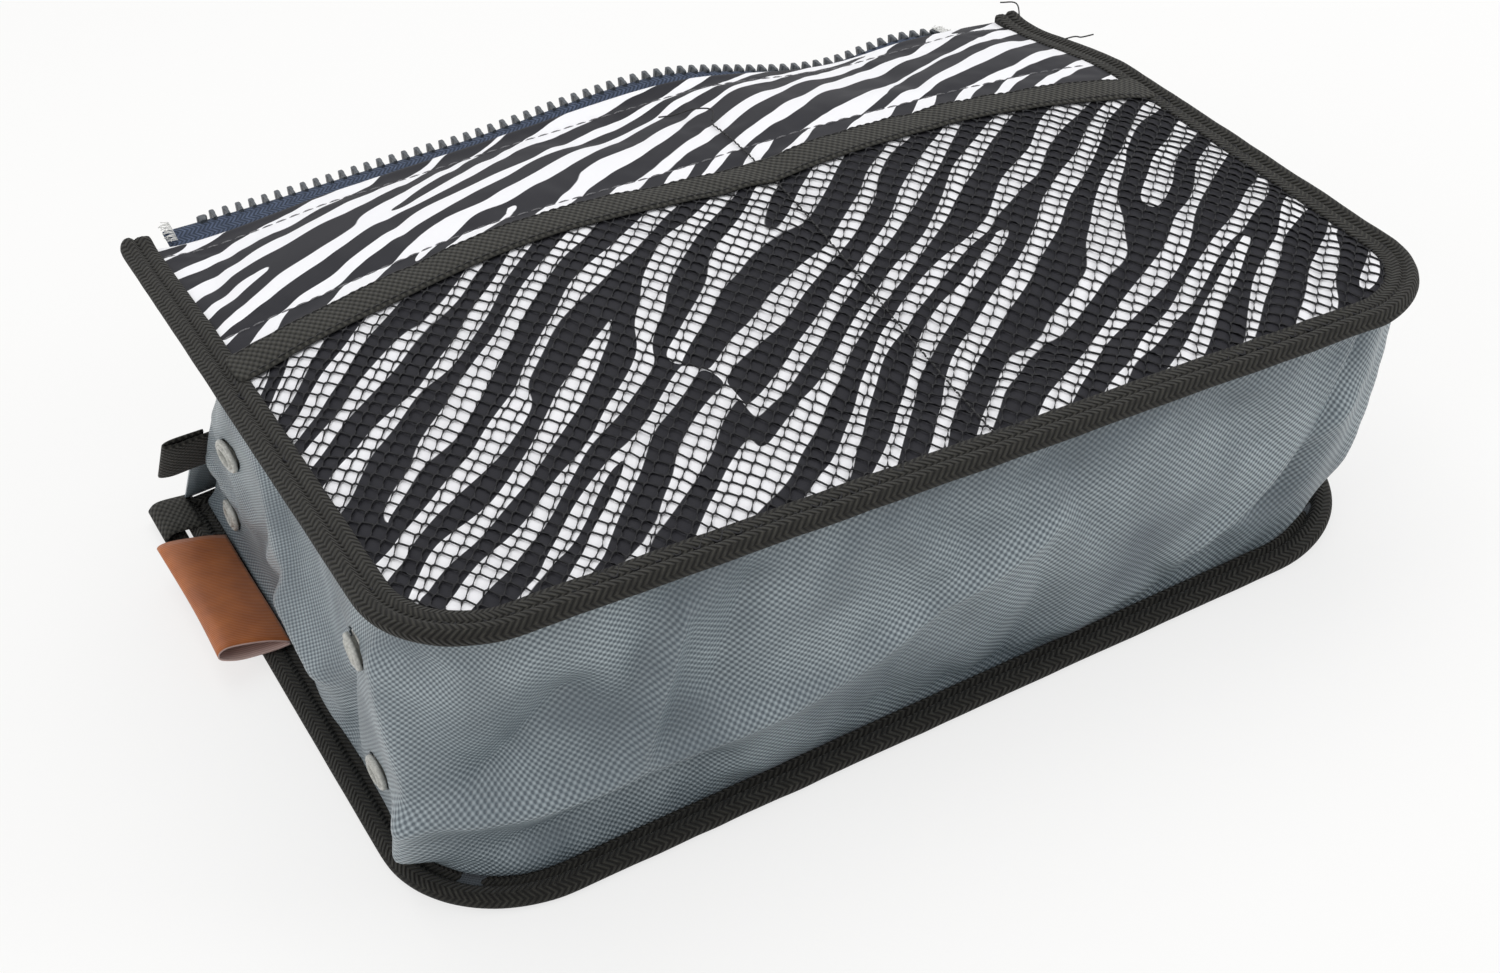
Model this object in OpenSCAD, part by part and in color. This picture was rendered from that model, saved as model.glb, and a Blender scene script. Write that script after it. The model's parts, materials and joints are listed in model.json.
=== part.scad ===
// Soft shoe bag lying on its back panel, with its mouth open.
// X runs along the long side, Y from the closed near edge to the zipped mouth, Z up.
// The origin is the middle of the back panel's underside. All sizes are in millimetres.

/* [Back panel] */
// Length of the back panel along X
back_w = 340; // [300:1:400]
// Width of the back panel from near edge to mouth
back_h = 246; // [210:1:290]
// Corner radius at the near end of the back panel
back_r = 45; // [38:1:60]

/* [Front panel] */
// Length of the front panel along X
front_w = 347; // [300:1:400]
// Width of the front panel from near edge to mouth
front_h = 250; // [210:1:290]
// Corner radius at the near end of the front panel
front_r = 35; // [30:1:60]
// Height of the front panel's middle above the table
depth = 104; // [85:1:125]
// How far the settled front panel has shifted along X
front_dx = 9; // [0:1:12]
// How far the settled front panel has shifted along Y
front_dy = -11; // [-14:1:0]
// How far the settled front panel leans down to the right, in degrees
front_roll = 3.8; // [0:0.1:5]
// How far the settled front panel leans towards the mouth, in degrees
front_pitch = -0.6; // [-1.5:0.1:1]

/* [Cloth layers] */
// Thickness of the panel cloth
cloth_t = 0.6; // [0.4:0.1:0.8]
// Thickness of the lining
lining_t = 0.6; // [0.4:0.1:0.8]
// Thickness of the foam in the front panel
foam_t = 2.4; // [1.5:0.1:4]
// Thickness of the stiffener board in the back panel
board_t = 2.2; // [1.5:0.1:3]
// Thickness of the coated nylon side walls with their backing
wall_t = 1.6; // [1:0.1:2.5]
// Thickness of the net
mesh_t = 0.6; // [0.4:0.1:0.8]

/* [Binding tape] */
// Thickness of the binding tape
tape_t = 0.8; // [0.5:0.1:1]
// How far the folded tape reaches in from the edge
bind_w = 11; // [9:0.5:14]
// How far the side walls are sewn in from the back panel's edge
seam_in = 10; // [6:0.5:11]
// How far the side walls are sewn in from the front panel's edge
top_seam_in = 7; // [5:0.5:9]

/* [Pocket] */
// Distance of the pocket band's middle from the front panel's middle
band_y = 36; // [20:1:40]
// Width of the pocket band
band_w = 16; // [12:1:20]
// Thickness of the pocket band
band_t = 1.4; // [1:0.1:2]
// Slant of the pocket band, in degrees
band_turn = 2; // [0:0.5:3]

/* [Mouth] */
// Distance of the fold line from the front panel's middle
fold_y = 53; // [48:1:62]
// Gap in the cloth at the fold line
fold_gap = 0.6; // [0.4:0.1:1]
// How far the rear strip's foot is in from the back panel's far edge
foot_in = 2; // [1:0.5:4]
// How far the side walls end short of the rear strip
wall_short = 5; // [4:0.5:8]
// Thickness of the rear strip that carries one half of the zip
strip_t = 1.2; // [0.8:0.1:1.6]
// Length of the rear strip along X
strip_w = 330; // [280:1:332]

/* [Zip] */
// Distance between teeth on one half
tooth_pitch = 4.6; // [4.2:0.1:6]
// Width of one tooth along the zip
tooth_w = 1.8; // [1.4:0.1:1.9]
// Length of one tooth across the zip
tooth_l = 5.3; // [4.8:0.1:5.6]
// Thickness of one tooth
tooth_t = 3; // [2.6:0.1:3.4]
// How far the two rows of teeth reach past the middle of the closed zip
tooth_mesh = 0.9; // [0.6:0.1:1]
// How far the tape reaches into the tooth
tooth_grip = 1.5; // [1:0.1:2]
// Thickness of the zip tape
zip_tape_t = 0.8; // [0.5:0.1:1]
// Width of each half of the zip tape
zip_tape_w = 17; // [14:1:20]
// How far the zip's middle line is past the flap's hem
zip_out = 9.5; // [8:0.5:12]
// Left end of the rows of teeth
teeth_x0 = -139; // [-142:1:-110]
// Right end of the rows of teeth
teeth_x1 = 137; // [110:1:138]
// Place of the open slider along X
slider_x = 150; // [149:1:152]
// Length of the slider
slider_l = 11; // [9:0.5:12]
// Width of the slider
slider_w = 12; // [11.5:0.5:14]
// Length of the pull tab
pull_l = 26; // [18:1:30]

/* [Eyelets] */
// Outer radius of an eyelet's flange
eyelet_r = 5.8; // [5:0.1:7]
// Radius of an eyelet's hole
eyelet_hole_r = 2.9; // [2.4:0.1:3.2]
// Radius of an eyelet's barrel
eyelet_barrel_r = 3.9; // [3.6:0.1:4.4]
// Thickness of an eyelet's flange
eyelet_t = 1.5; // [1:0.1:2]
// Clearance of the barrel in the cloth
eyelet_clear = 0.05; // [0.05:0.01:0.2]

/* [Label and tabs] */
// Length of the folded side label along Y
label_l = 66; // [50:1:80]
// How far the folded side label stands out
label_out = 23; // [16:1:28]
// Height of the label's open fold
label_loop = 6.4; // [4:0.2:8]
// Thickness of the label's cloth
label_t = 0.7; // [0.5:0.1:1]
// Rise of the label from the seam, in degrees
label_rise = 18; // [14:1:30]
// Middle of the label along Y
label_y = 56; // [40:1:60]
// Width of the webbing of the two end tabs
tab_w = 21; // [16:1:24]
// Length of the tab that covers the end of the zip
zip_tab_l = 36; // [24:1:40]
// How far the two end tabs stand out past the panel's side
tab_out = 9; // [6:1:12]

/* [Hidden] */
$fn = 48;
far = 1000;
slack = 0.3;
// Length of a cutter that passes through a side wall
through = 20;

// Stack of the back panel, from the table up
back_slot = cloth_t + board_t + lining_t;
back_t = back_slot + 2 * tape_t;

// Stack of the front panel, measured from its middle
core_half = (cloth_t + foam_t + lining_t) / 2;
front_under = core_half + tape_t;
cloth_top = core_half;
mesh_top = core_half + mesh_t;

// Points and directions on the settled front panel
function turn_x(a, p) = [p.x, p.y * cos(a) - p.z * sin(a), p.y * sin(a) + p.z * cos(a)];
function turn_y(a, p) = [p.x * cos(a) + p.z * sin(a), p.y, p.z * cos(a) - p.x * sin(a)];
function front_dir(p) = turn_y(front_roll, turn_x(front_pitch, p));
function front_pt(p) = front_dir(p) + [front_dx, front_dy, depth];
function unit(v) = v / norm(v);

// The mouth plane runs from the fold line down to the back panel's far edge, level along X.
fold_pt = front_pt([0, fold_y, -front_under]);
foot_pt = [0, back_h / 2 - foot_in, back_t + strip_t];
mouth_n = unit([0, fold_pt.z - foot_pt.z, foot_pt.y - fold_pt.y]);
mouth_slope = atan2(fold_pt.z - foot_pt.z, foot_pt.y - fold_pt.y);
panel_n = front_dir([0, 0, 1]);
// The fold line is where the front panel meets the mouth plane.
fold_dir = unit(cross(mouth_n, panel_n));
fold_turn = atan2(fold_dir * front_dir([0, 1, 0]), fold_dir * front_dir([1, 0, 0]));
close_angle = acos(mouth_n * panel_n);
function fold_at(x) = fold_y + x * tan(fold_turn);

// The zip, in the flap's own plane
hem_y = front_h / 2 - 1;
zip_y = hem_y + zip_out;
tooth_z = -front_under + zip_tape_t / 2;
tape_edge = zip_y + tooth_mesh - tooth_l + tooth_grip;
tooth_x = [for (x = [teeth_x0 : tooth_pitch : teeth_x1]) x];
strip_top = 2 * zip_y - tape_edge + 9;

module settled() {
    translate([front_dx, front_dy, depth]) rotate([front_pitch, front_roll, 0]) children();
}

// Places what is drawn on the flap where it lies when the flap is closed.
module closed() {
    settled()
        translate([0, fold_y, -front_under])
            rotate([0, 0, fold_turn])
                rotate([-close_angle, 0, 0])
                    rotate([0, 0, -fold_turn])
                        translate([0, -fold_y, front_under])
                            children();
}

// Mirrors about the middle line of the closed zip.
module other_half() {
    translate([0, 2 * zip_y, 0]) mirror([0, 1, 0]) children();
}

// Outline of a panel: square corners at the mouth, round ones at the near end.
module panel_2d(w, h, r, inset, far_y) {
    translate([-w / 2 + inset, -h / 2 + r]) square([w - 2 * inset, far_y + h / 2 - r]);
    translate([-w / 2 + r, -h / 2 + inset]) square([w - 2 * r, r - inset + 1]);
    for (s = [-1, 1]) translate([s * (w / 2 - r), -h / 2 + r]) circle(r = r - inset);
}

module back_2d(inset) {
    panel_2d(back_w, back_h, back_r, inset, back_h / 2 - inset);
}

module front_2d(inset, far_y) {
    panel_2d(front_w, front_h, front_r, inset, far_y);
}

// Half of the plane on the near side of the fold line, or on the far side.
module beside_fold_2d(side) {
    translate([0, fold_y]) rotate(fold_turn)
        translate([-far / 2, side < 0 ? -far - fold_gap / 2 : fold_gap / 2]) square(far);
}

module slab(z0, z1) {
    translate([0, 0, z0]) linear_extrude(z1 - z0) children();
}

module root_layer(z0, z1, inset) {
    settled() slab(z0, z1) intersection() {
        front_2d(inset, hem_y);
        beside_fold_2d(-1);
    }
}

module flap_layer(z0, z1) {
    settled() slab(z0, z1) intersection() {
        front_2d(tape_t, hem_y);
        beside_fold_2d(1);
    }
}

// Walls: matching points round the two panels, from the left mouth to the right mouth.
arc_steps = 8;
arc_turns = [for (k = [0 : arc_steps]) k * 90 / arc_steps];
function u_path(w, h, r, inset, left_y, right_y) = let(a = r - inset, x = w / 2 - r, y = -h / 2 + r)
    concat([[-w / 2 + inset, left_y]],
        [for (t = arc_turns) [-x + a * cos(180 + t), y + a * sin(180 + t)]],
        [for (t = arc_turns) [x + a * cos(270 + t), y + a * sin(270 + t)]],
        [[w / 2 - inset, right_y]]);
function foot_path(inset) = let(y = foot_pt.y - wall_short) u_path(back_w, back_h, back_r, inset, y, y);
function head_path(inset) = let(x = front_w / 2 - top_seam_in)
    u_path(front_w, front_h, front_r, inset, fold_at(-x) - wall_short, fold_at(x) - wall_short);
last_pt = 2 * arc_steps + 3;

// A ruled wall between the two paths, from point first to point last.
module wall(first, last) {
    foot_out = foot_path(seam_in);
    foot_inn = foot_path(seam_in + wall_t);
    head_out = head_path(top_seam_in);
    head_inn = head_path(top_seam_in + wall_t);
    rings = last - first;
    points = [for (i = [first : last]) each [
        [foot_out[i].x, foot_out[i].y, back_t],
        front_pt([head_out[i].x, head_out[i].y, -front_under]),
        front_pt([head_inn[i].x, head_inn[i].y, -front_under]),
        [foot_inn[i].x, foot_inn[i].y, back_t]]];
    sides = [for (i = [0 : rings - 1], k = [0 : 3]) let(a = 4 * i + k, b = 4 * i + (k + 1) % 4)
        each [[a, b, b + 4], [a, b + 4, a + 4]]];
    ends = [[0, 3, 2], [0, 2, 1], [4 * rings, 4 * rings + 1, 4 * rings + 2],
        [4 * rings, 4 * rings + 2, 4 * rings + 3]];
    polyhedron(points, concat(sides, ends));
}

// Eyelets: place along Y of the four in each end wall, and how far up the wall they are.
eyelet_at = [[-75, 0.25], [-86, 0.77], [30, 0.71], [84, 0.13]];
// Outer face of an end wall at height z, and how far it leans
function head_x(side) = front_pt([side * (front_w / 2 - top_seam_in), 0, -front_under]);
function foot_x(side) = side * (back_w / 2 - seam_in);
function wall_lean(side) = atan2(head_x(side).x - foot_x(side), head_x(side).z - back_t);
function wall_x(side, z) = foot_x(side) + (z - back_t) * tan(wall_lean(side));
function eyelet_z(side, up) = back_t + up * (head_x(side).z - back_t);

// Puts an eyelet's axis square to the end wall, pointing out, with z = 0 on the outer face.
module at_eyelets(side) {
    for (p = eyelet_at)
        translate([wall_x(side, eyelet_z(side, p[1])), p[0], eyelet_z(side, p[1])])
            rotate([0, side * 90 + wall_lean(side), 0])
                children();
}

module eyelet_holes(side) {
    at_eyelets(side) cylinder(r = eyelet_barrel_r + eyelet_clear, h = through, center = true);
}

// Back panel
module back_shell() color("#5f6a70") {
    slab(tape_t, tape_t + cloth_t) back_2d(tape_t);
    slab(0, tape_t + cloth_t / 2) back_2d(bind_w);
}

module back_board() color("#33363a")
    slab(tape_t + cloth_t, tape_t + cloth_t + board_t) back_2d(tape_t);

module back_lining() color("#4a4f55")
    slab(tape_t + cloth_t + board_t, tape_t + back_slot) back_2d(tape_t);

module back_binding() color("#22221f") difference() {
    slab(0, back_t) back_2d(0);
    slab(-1, back_t + 1) back_2d(bind_w);
    slab(tape_t, tape_t + back_slot) back_2d(tape_t);
}

// Side walls
module gusset_left() color("#6c7a82") difference() {
    wall(0, 1);
    eyelet_holes(-1);
}

module gusset_near() color("#6c7a82") wall(1, last_pt - 1);

module gusset_right() color("#6c7a82") difference() {
    wall(last_pt - 1, last_pt);
    eyelet_holes(1);
}

// Front panel, up to the fold line
module front_shell() color("#e8e8ec") root_layer(core_half - cloth_t, core_half, tape_t);

module front_foam() color("#d8d8d8") root_layer(lining_t - core_half, core_half - cloth_t, tape_t);

module front_lining() color("#4a4f55") root_layer(-core_half, lining_t - core_half, tape_t);

module front_binding() color("#22221f") settled() difference() {
    slab(-front_under, mesh_top + tape_t) intersection() {
        front_2d(0, hem_y);
        beside_fold_2d(-1);
    }
    slab(-front_under - 1, mesh_top + tape_t + 1) front_2d(bind_w, far);
    slab(-core_half, mesh_top) front_2d(tape_t, far);
}

// Strip of the front panel that the band covers
module band_2d(w) {
    intersection() {
        translate([0, band_y]) rotate(band_turn) square([2 * front_w, w], center = true);
        front_2d(bind_w + slack, hem_y);
    }
}

module pocket_mesh() color("#17171a") settled() slab(cloth_top, mesh_top) intersection() {
    front_2d(tape_t, hem_y);
    translate([0, band_y]) rotate(band_turn) translate([-far / 2, -far]) square(far);
}

module pocket_band() color("#26241f") settled() slab(mesh_top, mesh_top + band_t) band_2d(band_w);

// Flap: the rest of the front panel, past the fold line
module flap_shell() color("#e8e8ec") flap_layer(core_half - cloth_t, core_half);

module flap_foam() color("#d8d8d8") flap_layer(lining_t - core_half, core_half - cloth_t);

module flap_lining() color("#4a4f55") flap_layer(-core_half, lining_t - core_half);

module flap_binding(side) {
    settled() difference() {
        slab(-front_under, front_under) intersection() {
            front_2d(0, hem_y + 1);
            beside_fold_2d(1);
            translate([side < 0 ? -far : 0, -far / 2]) square(far);
        }
        slab(-front_under - 1, front_under + 1) front_2d(bind_w, far);
        slab(-core_half, core_half) front_2d(tape_t, hem_y);
    }
}

module flap_binding_left() color("#22221f") flap_binding(-1);

module flap_binding_right() color("#22221f") flap_binding(1);

// One half of the zip, drawn in the flap's plane
module zip_tape(x0, x1) {
    translate([x0, tape_edge - zip_tape_w, -front_under]) cube([x1 - x0, zip_tape_w, zip_tape_t]);
}

module zip_tooth() {
    back_y = zip_y + tooth_mesh - tooth_l;
    difference() {
        translate([-tooth_w / 2, back_y, tooth_z - tooth_t / 2]) cube([tooth_w, tooth_l, tooth_t]);
        translate([-tooth_w, back_y - 1, -front_under]) cube([2 * tooth_w, tooth_grip + 1, zip_tape_t]);
    }
}

module zip_stop() {
    stop_l = 3.4;
    back_y = tape_edge - tooth_grip;
    difference() {
        translate([-stop_l / 2, back_y, tooth_z - tooth_t / 2]) cube([stop_l, tooth_grip + 2, tooth_t]);
        translate([-stop_l, back_y - 1, -front_under]) cube([2 * stop_l, tooth_grip + 1, zip_tape_t]);
    }
}

tape_x0 = -157;
tape_x1 = 142;
rear_tape_x1 = 162;
stop_in = 4;

module flap_zip_tape() color("#4a5466") settled() zip_tape(tape_x0, tape_x1);

module flap_zip_teeth() color("#5a5f66") settled() for (x = tooth_x) translate([x, 0, 0]) zip_tooth();

module flap_zip_stops() color("#5a5f66") settled()
    for (x = [teeth_x0 - stop_in, tooth_x[len(tooth_x) - 1] + stop_in]) translate([x, 0, 0]) zip_stop();

// Rear strip, lying in the mouth plane with its foot sewn to the back panel, as a profile across Y and Z
mouth_len = norm([fold_pt.y - foot_pt.y, fold_pt.z - foot_pt.z]);
strip_len = mouth_len - (strip_top - fold_y);
strip_foot_w = wall_short - slack;

module rear_strip() color("#6c7a82") {
    foot = [foot_pt.y, foot_pt.z];
    up = [-cos(mouth_slope), sin(mouth_slope)];
    under = foot - strip_t * [mouth_n.y, mouth_n.z];
    foot_top = back_t + strip_t;
    rotate([90, 0, 90]) linear_extrude(strip_w, center = true) polygon([
        foot + strip_len * up,
        foot - (foot.y - back_t) / up.y * up,
        [foot.x - strip_foot_w, back_t],
        [foot.x - strip_foot_w, foot_top],
        under + (foot_top - under.y) / up.y * up,
        under + strip_len * up]);
}

module rear_zip_tape() color("#4a5466") closed() other_half() zip_tape(tape_x0, rear_tape_x1);

module rear_zip_teeth() color("#5a5f66") closed() other_half()
    for (x = tooth_x) translate([x + tooth_pitch / 2, 0, 0]) zip_tooth();

module rear_zip_stops() color("#5a5f66") closed() other_half()
    for (x = [teeth_x0 - stop_in, rear_tape_x1 - 3]) translate([x, 0, 0]) zip_stop();

// Slider: two plates, side flanges with slots for the tape, a post, and two ears for the pull's pin
plate_t = 1.2;
channel = tooth_t / 2 + slack;
flange_t = 0.9;
post_l = 3;
ear_t = 1;
ear_w = 3.6;
ear_h = 3;
ear_in = 2.3;
pin_r = 0.9;
pull_pin_z = tooth_z + channel + plate_t + ear_h - pin_r - 0.2;

module zip_slider() color("#5a5f66") closed() translate([slider_x - slider_l / 2, zip_y, 0]) {
    slot = zip_tape_t / 2 + slack;
    for (z = [tooth_z + channel, tooth_z - channel - plate_t])
        translate([0, -slider_w / 2, z]) cube([slider_l, slider_w, plate_t]);
    for (y = [-slider_w / 2, slider_w / 2 - flange_t], z = [tooth_z + slot, tooth_z - channel])
        translate([0, y, z]) cube([slider_l, flange_t, channel - slot]);
    // The post passes between the flap's tape and the tips of the rear teeth.
    post_y0 = tape_edge - zip_y + slack;
    post_y1 = -tooth_mesh - slack;
    translate([0, post_y0, tooth_z - channel]) cube([post_l, post_y1 - post_y0, 2 * channel]);
    for (y = [-ear_in - ear_t, ear_in])
        translate([(slider_l - ear_w) / 2, y, tooth_z + channel + plate_t]) cube([ear_w, ear_t, ear_h]);
    translate([slider_l / 2, 0, pull_pin_z])
        rotate([90, 0, 0]) cylinder(r = pin_r, h = 2 * ear_in + ear_t, center = true);
}

pin_clear = 0.08;
pull_eye_r = 1.8;
pull_t = 1.6;
pull_tip_r = 4;

module zip_pull() color("#4b5056") closed() translate([slider_x, zip_y, pull_pin_z]) {
    pull_w = 2 * ear_in - 0.4;
    tip = [pull_l - pull_tip_r, 0, -pull_t / 2];
    difference() {
        union() {
            rotate([90, 0, 0]) cylinder(r = pull_eye_r, h = pull_w, center = true);
            translate([0, -pull_w / 2, -pull_t / 2]) cube([tip.x, pull_w, pull_t]);
            translate(tip) cylinder(r = pull_tip_r, h = pull_t);
        }
        rotate([90, 0, 0]) cylinder(r = pin_r + pin_clear, h = 2 * pull_w, center = true);
        translate(tip - [0, 0, 1]) cylinder(r = pull_eye_r, h = pull_t + 2);
    }
}

// Webbing tab folded over the left end of the rear half of the zip. Its lower ply passes under
// the closed flap, and its upper ply covers the rear tape only.
web_t = 1.1;
ply_gap = 0.2;

module zip_end_tab() color("#1d1c1b") closed() {
    x0 = -front_w / 2 - tab_out;
    x1 = tape_x0 + 6;
    y1 = strip_top - slack;
    upper_y0 = zip_y + 1;
    lower_z = -front_under - ply_gap - web_t;
    upper_z = zip_tape_t - front_under + ply_gap;
    translate([x0, y1 - zip_tab_l, lower_z]) cube([x1 - x0, zip_tab_l, web_t]);
    translate([x0, upper_y0, upper_z]) cube([x1 - x0, y1 - upper_y0, web_t]);
    translate([x0, upper_y0, lower_z]) cube([web_t, y1 - upper_y0, upper_z + web_t - lower_z]);
}

// Folded end of webbing at the back panel's far left corner
module corner_tab() color("#1d1c1b") translate([-back_w / 2 - tab_out, back_h / 2 - tab_w, back_t]) {
    lap = (back_w - strip_w) / 2 - slack;
    fold_h = 3 * web_t + slack;
    cube([tab_out + lap, tab_w, web_t]);
    translate([0, 0, -fold_h]) cube([web_t, tab_w, fold_h + web_t / 2]);
    translate([0, 0, -fold_h]) cube([tab_out - slack, tab_w, web_t]);
}

// Side label: one strip folded into a flat loop, sewn into the seam of the left wall
label_x = foot_x(-1) - label_t - slack;
label_z = back_t + 1;
// Width of the sewn edge, where the label's two plies lie flat together
label_hem = 4;

module label_2d(off) {
    r = label_loop / 2 - off;
    tip = label_out - label_loop / 2;
    translate([-tip, 0]) circle(r = r);
    polygon([[-tip, r], [-tip, -r], [0, off - label_t], [0, label_t - off]]);
}

module side_label() color("#a85f2e")
    translate([label_x, label_y + label_l / 2, label_z]) rotate([0, label_rise, 0]) rotate([90, 0, 0])
        linear_extrude(label_l) difference() {
            label_2d(0);
            intersection() {
                label_2d(label_t);
                translate([-far - label_hem, -far / 2]) square(far);
            }
        }

// Vent eyelets: a flanged barrel outside and a washer inside
washer_t = 1;
eyelet_seat = 0.15;

module eyelets(side) {
    at_eyelets(side) difference() {
        union() {
            translate([0, 0, eyelet_seat]) cylinder(r = eyelet_r, h = eyelet_t);
            translate([0, 0, -wall_t - washer_t - eyelet_seat])
                cylinder(r = eyelet_barrel_r, h = wall_t + washer_t + 2 * eyelet_seat + eyelet_t / 2);
        }
        cylinder(r = eyelet_hole_r, h = through, center = true);
    }
}

module washers(side) {
    at_eyelets(side) translate([0, 0, -wall_t - washer_t - eyelet_seat]) difference() {
        cylinder(r = eyelet_r, h = washer_t);
        cylinder(r = eyelet_barrel_r + eyelet_clear, h = through, center = true);
    }
}

module eyelets_left() color("#a9a9a5") eyelets(-1);

module eyelet_washers_left() color("#a9a9a5") washers(-1);

module eyelets_right() color("#a9a9a5") eyelets(1);

module eyelet_washers_right() color("#a9a9a5") washers(1);

back_shell();
back_board();
back_lining();
back_binding();
gusset_left();
gusset_near();
gusset_right();
front_shell();
front_foam();
front_lining();
front_binding();
pocket_mesh();
pocket_band();
flap_shell();
flap_foam();
flap_lining();
flap_binding_left();
flap_binding_right();
flap_zip_tape();
flap_zip_teeth();
flap_zip_stops();
rear_strip();
rear_zip_tape();
rear_zip_teeth();
rear_zip_stops();
zip_slider();
zip_pull();
zip_end_tab();
corner_tab();
side_label();
eyelets_left();
eyelet_washers_left();
eyelets_right();
eyelet_washers_right();
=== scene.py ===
"""Looks of a soft travel shoe bag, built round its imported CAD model.

Shapes are worked out in millimetres. The front panel and its flap use the panel's own axes: x along its
length, y towards the mouth, z out of the cloth. They become metres when a piece's mesh is made.
"""
import json
import math
import bmesh
import bpy
import numpy as np
from mathutils import Matrix, Vector, noise
from mathutils.bvhtree import BVHTree


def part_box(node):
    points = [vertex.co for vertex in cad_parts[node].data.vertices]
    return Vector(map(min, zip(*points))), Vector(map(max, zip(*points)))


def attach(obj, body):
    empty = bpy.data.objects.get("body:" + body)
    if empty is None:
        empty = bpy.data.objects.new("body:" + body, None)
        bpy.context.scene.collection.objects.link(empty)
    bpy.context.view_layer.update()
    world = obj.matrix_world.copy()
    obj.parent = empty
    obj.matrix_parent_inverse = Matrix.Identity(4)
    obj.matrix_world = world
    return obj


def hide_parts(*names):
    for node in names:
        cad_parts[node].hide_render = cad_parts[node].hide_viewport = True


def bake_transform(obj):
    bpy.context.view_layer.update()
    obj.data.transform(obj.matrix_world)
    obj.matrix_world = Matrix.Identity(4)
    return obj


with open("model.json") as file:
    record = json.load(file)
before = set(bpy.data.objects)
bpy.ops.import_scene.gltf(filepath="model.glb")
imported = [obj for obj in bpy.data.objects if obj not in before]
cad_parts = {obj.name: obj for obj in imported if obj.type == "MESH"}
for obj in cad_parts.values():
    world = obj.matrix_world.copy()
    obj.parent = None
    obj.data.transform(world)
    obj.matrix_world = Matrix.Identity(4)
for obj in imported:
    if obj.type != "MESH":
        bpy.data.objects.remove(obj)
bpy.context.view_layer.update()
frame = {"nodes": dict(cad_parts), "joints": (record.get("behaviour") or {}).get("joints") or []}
MM = 0.001

# Camera: a normal lens, a little over half a metre above and left of the bag's near corner.
CAMERA_AZIMUTH, CAMERA_ELEVATION, CAMERA_ROLL = -23.713, 38.207, -7.115
CAMERA_DISTANCE = 801.295
CAMERA_AIM = (-14.647, -29.678, 40.0)
CAMERA_LENS = 59.846


def make_camera():
    """Looks at the aim point from the given angles, in degrees, and distance, in millimetres."""
    data = bpy.data.cameras.new("camera")
    data.sensor_width = 36
    data.sensor_fit = "HORIZONTAL"
    data.lens = CAMERA_LENS
    camera = bpy.data.objects.new("camera", data)
    bpy.context.scene.collection.objects.link(camera)
    turn = Matrix.Rotation(math.radians(CAMERA_AZIMUTH), 3, "Z")
    tip = Matrix.Rotation(math.radians(90 - CAMERA_ELEVATION), 3, "X")
    roll = Matrix.Rotation(math.radians(CAMERA_ROLL), 3, "Z")
    axes = turn @ tip @ roll
    place = axes.to_4x4()
    place.translation = (Vector(CAMERA_AIM) + CAMERA_DISTANCE * axes.col[2]) * MM
    camera.matrix_world = place
    bpy.context.scene.camera = camera


make_camera()

# ---------------------------------------------------------------- the frame, in millimetres


def points_of(node):
    mesh = frame["nodes"][node].data
    co = np.empty(len(mesh.vertices) * 3)
    mesh.vertices.foreach_get("co", co)
    return co.reshape(-1, 3) / MM


def widest_normal(node, toward):
    """Normal of the node's largest flat face of those that face roughly along toward."""
    faces = [p for p in frame["nodes"][node].data.polygons if p.normal.dot(Vector(toward)) > 0.9]
    return np.array(max(faces, key=lambda p: p.area).normal)


HEM_IN = 1.0
X_AXIS = widest_normal("front_foam", (1, 0, 0))
Z_AXIS = widest_normal("front_foam", (0, 0, 1))
Y_AXIS = np.cross(Z_AXIS, X_AXIS)
AXES = np.array([X_AXIS, Y_AXIS, Z_AXIS])


def middle(values):
    return (values.min() + values.max()) / 2


def panel_origin():
    edge = points_of("front_binding")
    hem = (points_of("flap_shell") @ Y_AXIS).max() + HEM_IN
    across = ((edge @ Y_AXIS).min() + hem) / 2
    parts = [middle(edge @ X_AXIS), across, middle(points_of("front_foam") @ Z_AXIS)]
    return np.array(parts) @ AXES


ORIGIN = panel_origin()
joints = {j["name"]: j for j in frame["joints"]}
FOLD = joints["flap_fold"]
FOLD_POINT = np.array(FOLD["pos_m"]) / MM
FOLD_AXIS = np.array(FOLD["axis"])
CLOSING = np.array(Matrix.Rotation(math.radians(FOLD["range_deg"][0]), 3, Vector(FOLD_AXIS)))


def panel(x, y, z):
    """World place of points given in the panel's own axes."""
    x, y, z = np.broadcast_arrays(x, y, z)
    return ORIGIN + np.stack([x, y, z], -1).astype(float) @ AXES


def in_panel(points):
    return (points - ORIGIN) @ AXES.T


def shut(points):
    """Where points of the flap are once it is folded down over the mouth."""
    return (points - FOLD_POINT) @ CLOSING.T + FOLD_POINT


def opened(points):
    """The reverse of shut: panel coordinates of something that lies in the plane of the mouth."""
    return in_panel((points - FOLD_POINT) @ CLOSING + FOLD_POINT)


def extent(points):
    return points.min(0), points.max(0)


EDGE_LOW, EDGE_HIGH = extent(in_panel(points_of("front_binding")))
HALF_W = EDGE_HIGH[0]
NEAR_Y = EDGE_LOW[1]
UNDER = EDGE_LOW[2]
HEM_Y = extent(in_panel(points_of("flap_shell")))[1][1]
CORE = extent(in_panel(points_of("front_shell")))[1][2]
REAR_FOOT = extent(opened(points_of("rear_strip")))[1][1]
BACK_LOW, BACK_HIGH = (np.array(c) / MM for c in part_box("back_binding"))
BAND_LOW, BAND_HIGH = extent(in_panel(points_of("pocket_band")))
BIND_W = 11.0
TAPE_T = 0.8
FRONT_R, BACK_R = 35.0, 45.0
BAND_W = 16.0
BAND_SLOPE = math.tan(math.radians(2))
BAND_Y = (BAND_LOW[1] + BAND_HIGH[1]) / 2


def ease(t):
    t = np.clip(t, 0, 1)
    return t * t * (3 - 2 * t)


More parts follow.
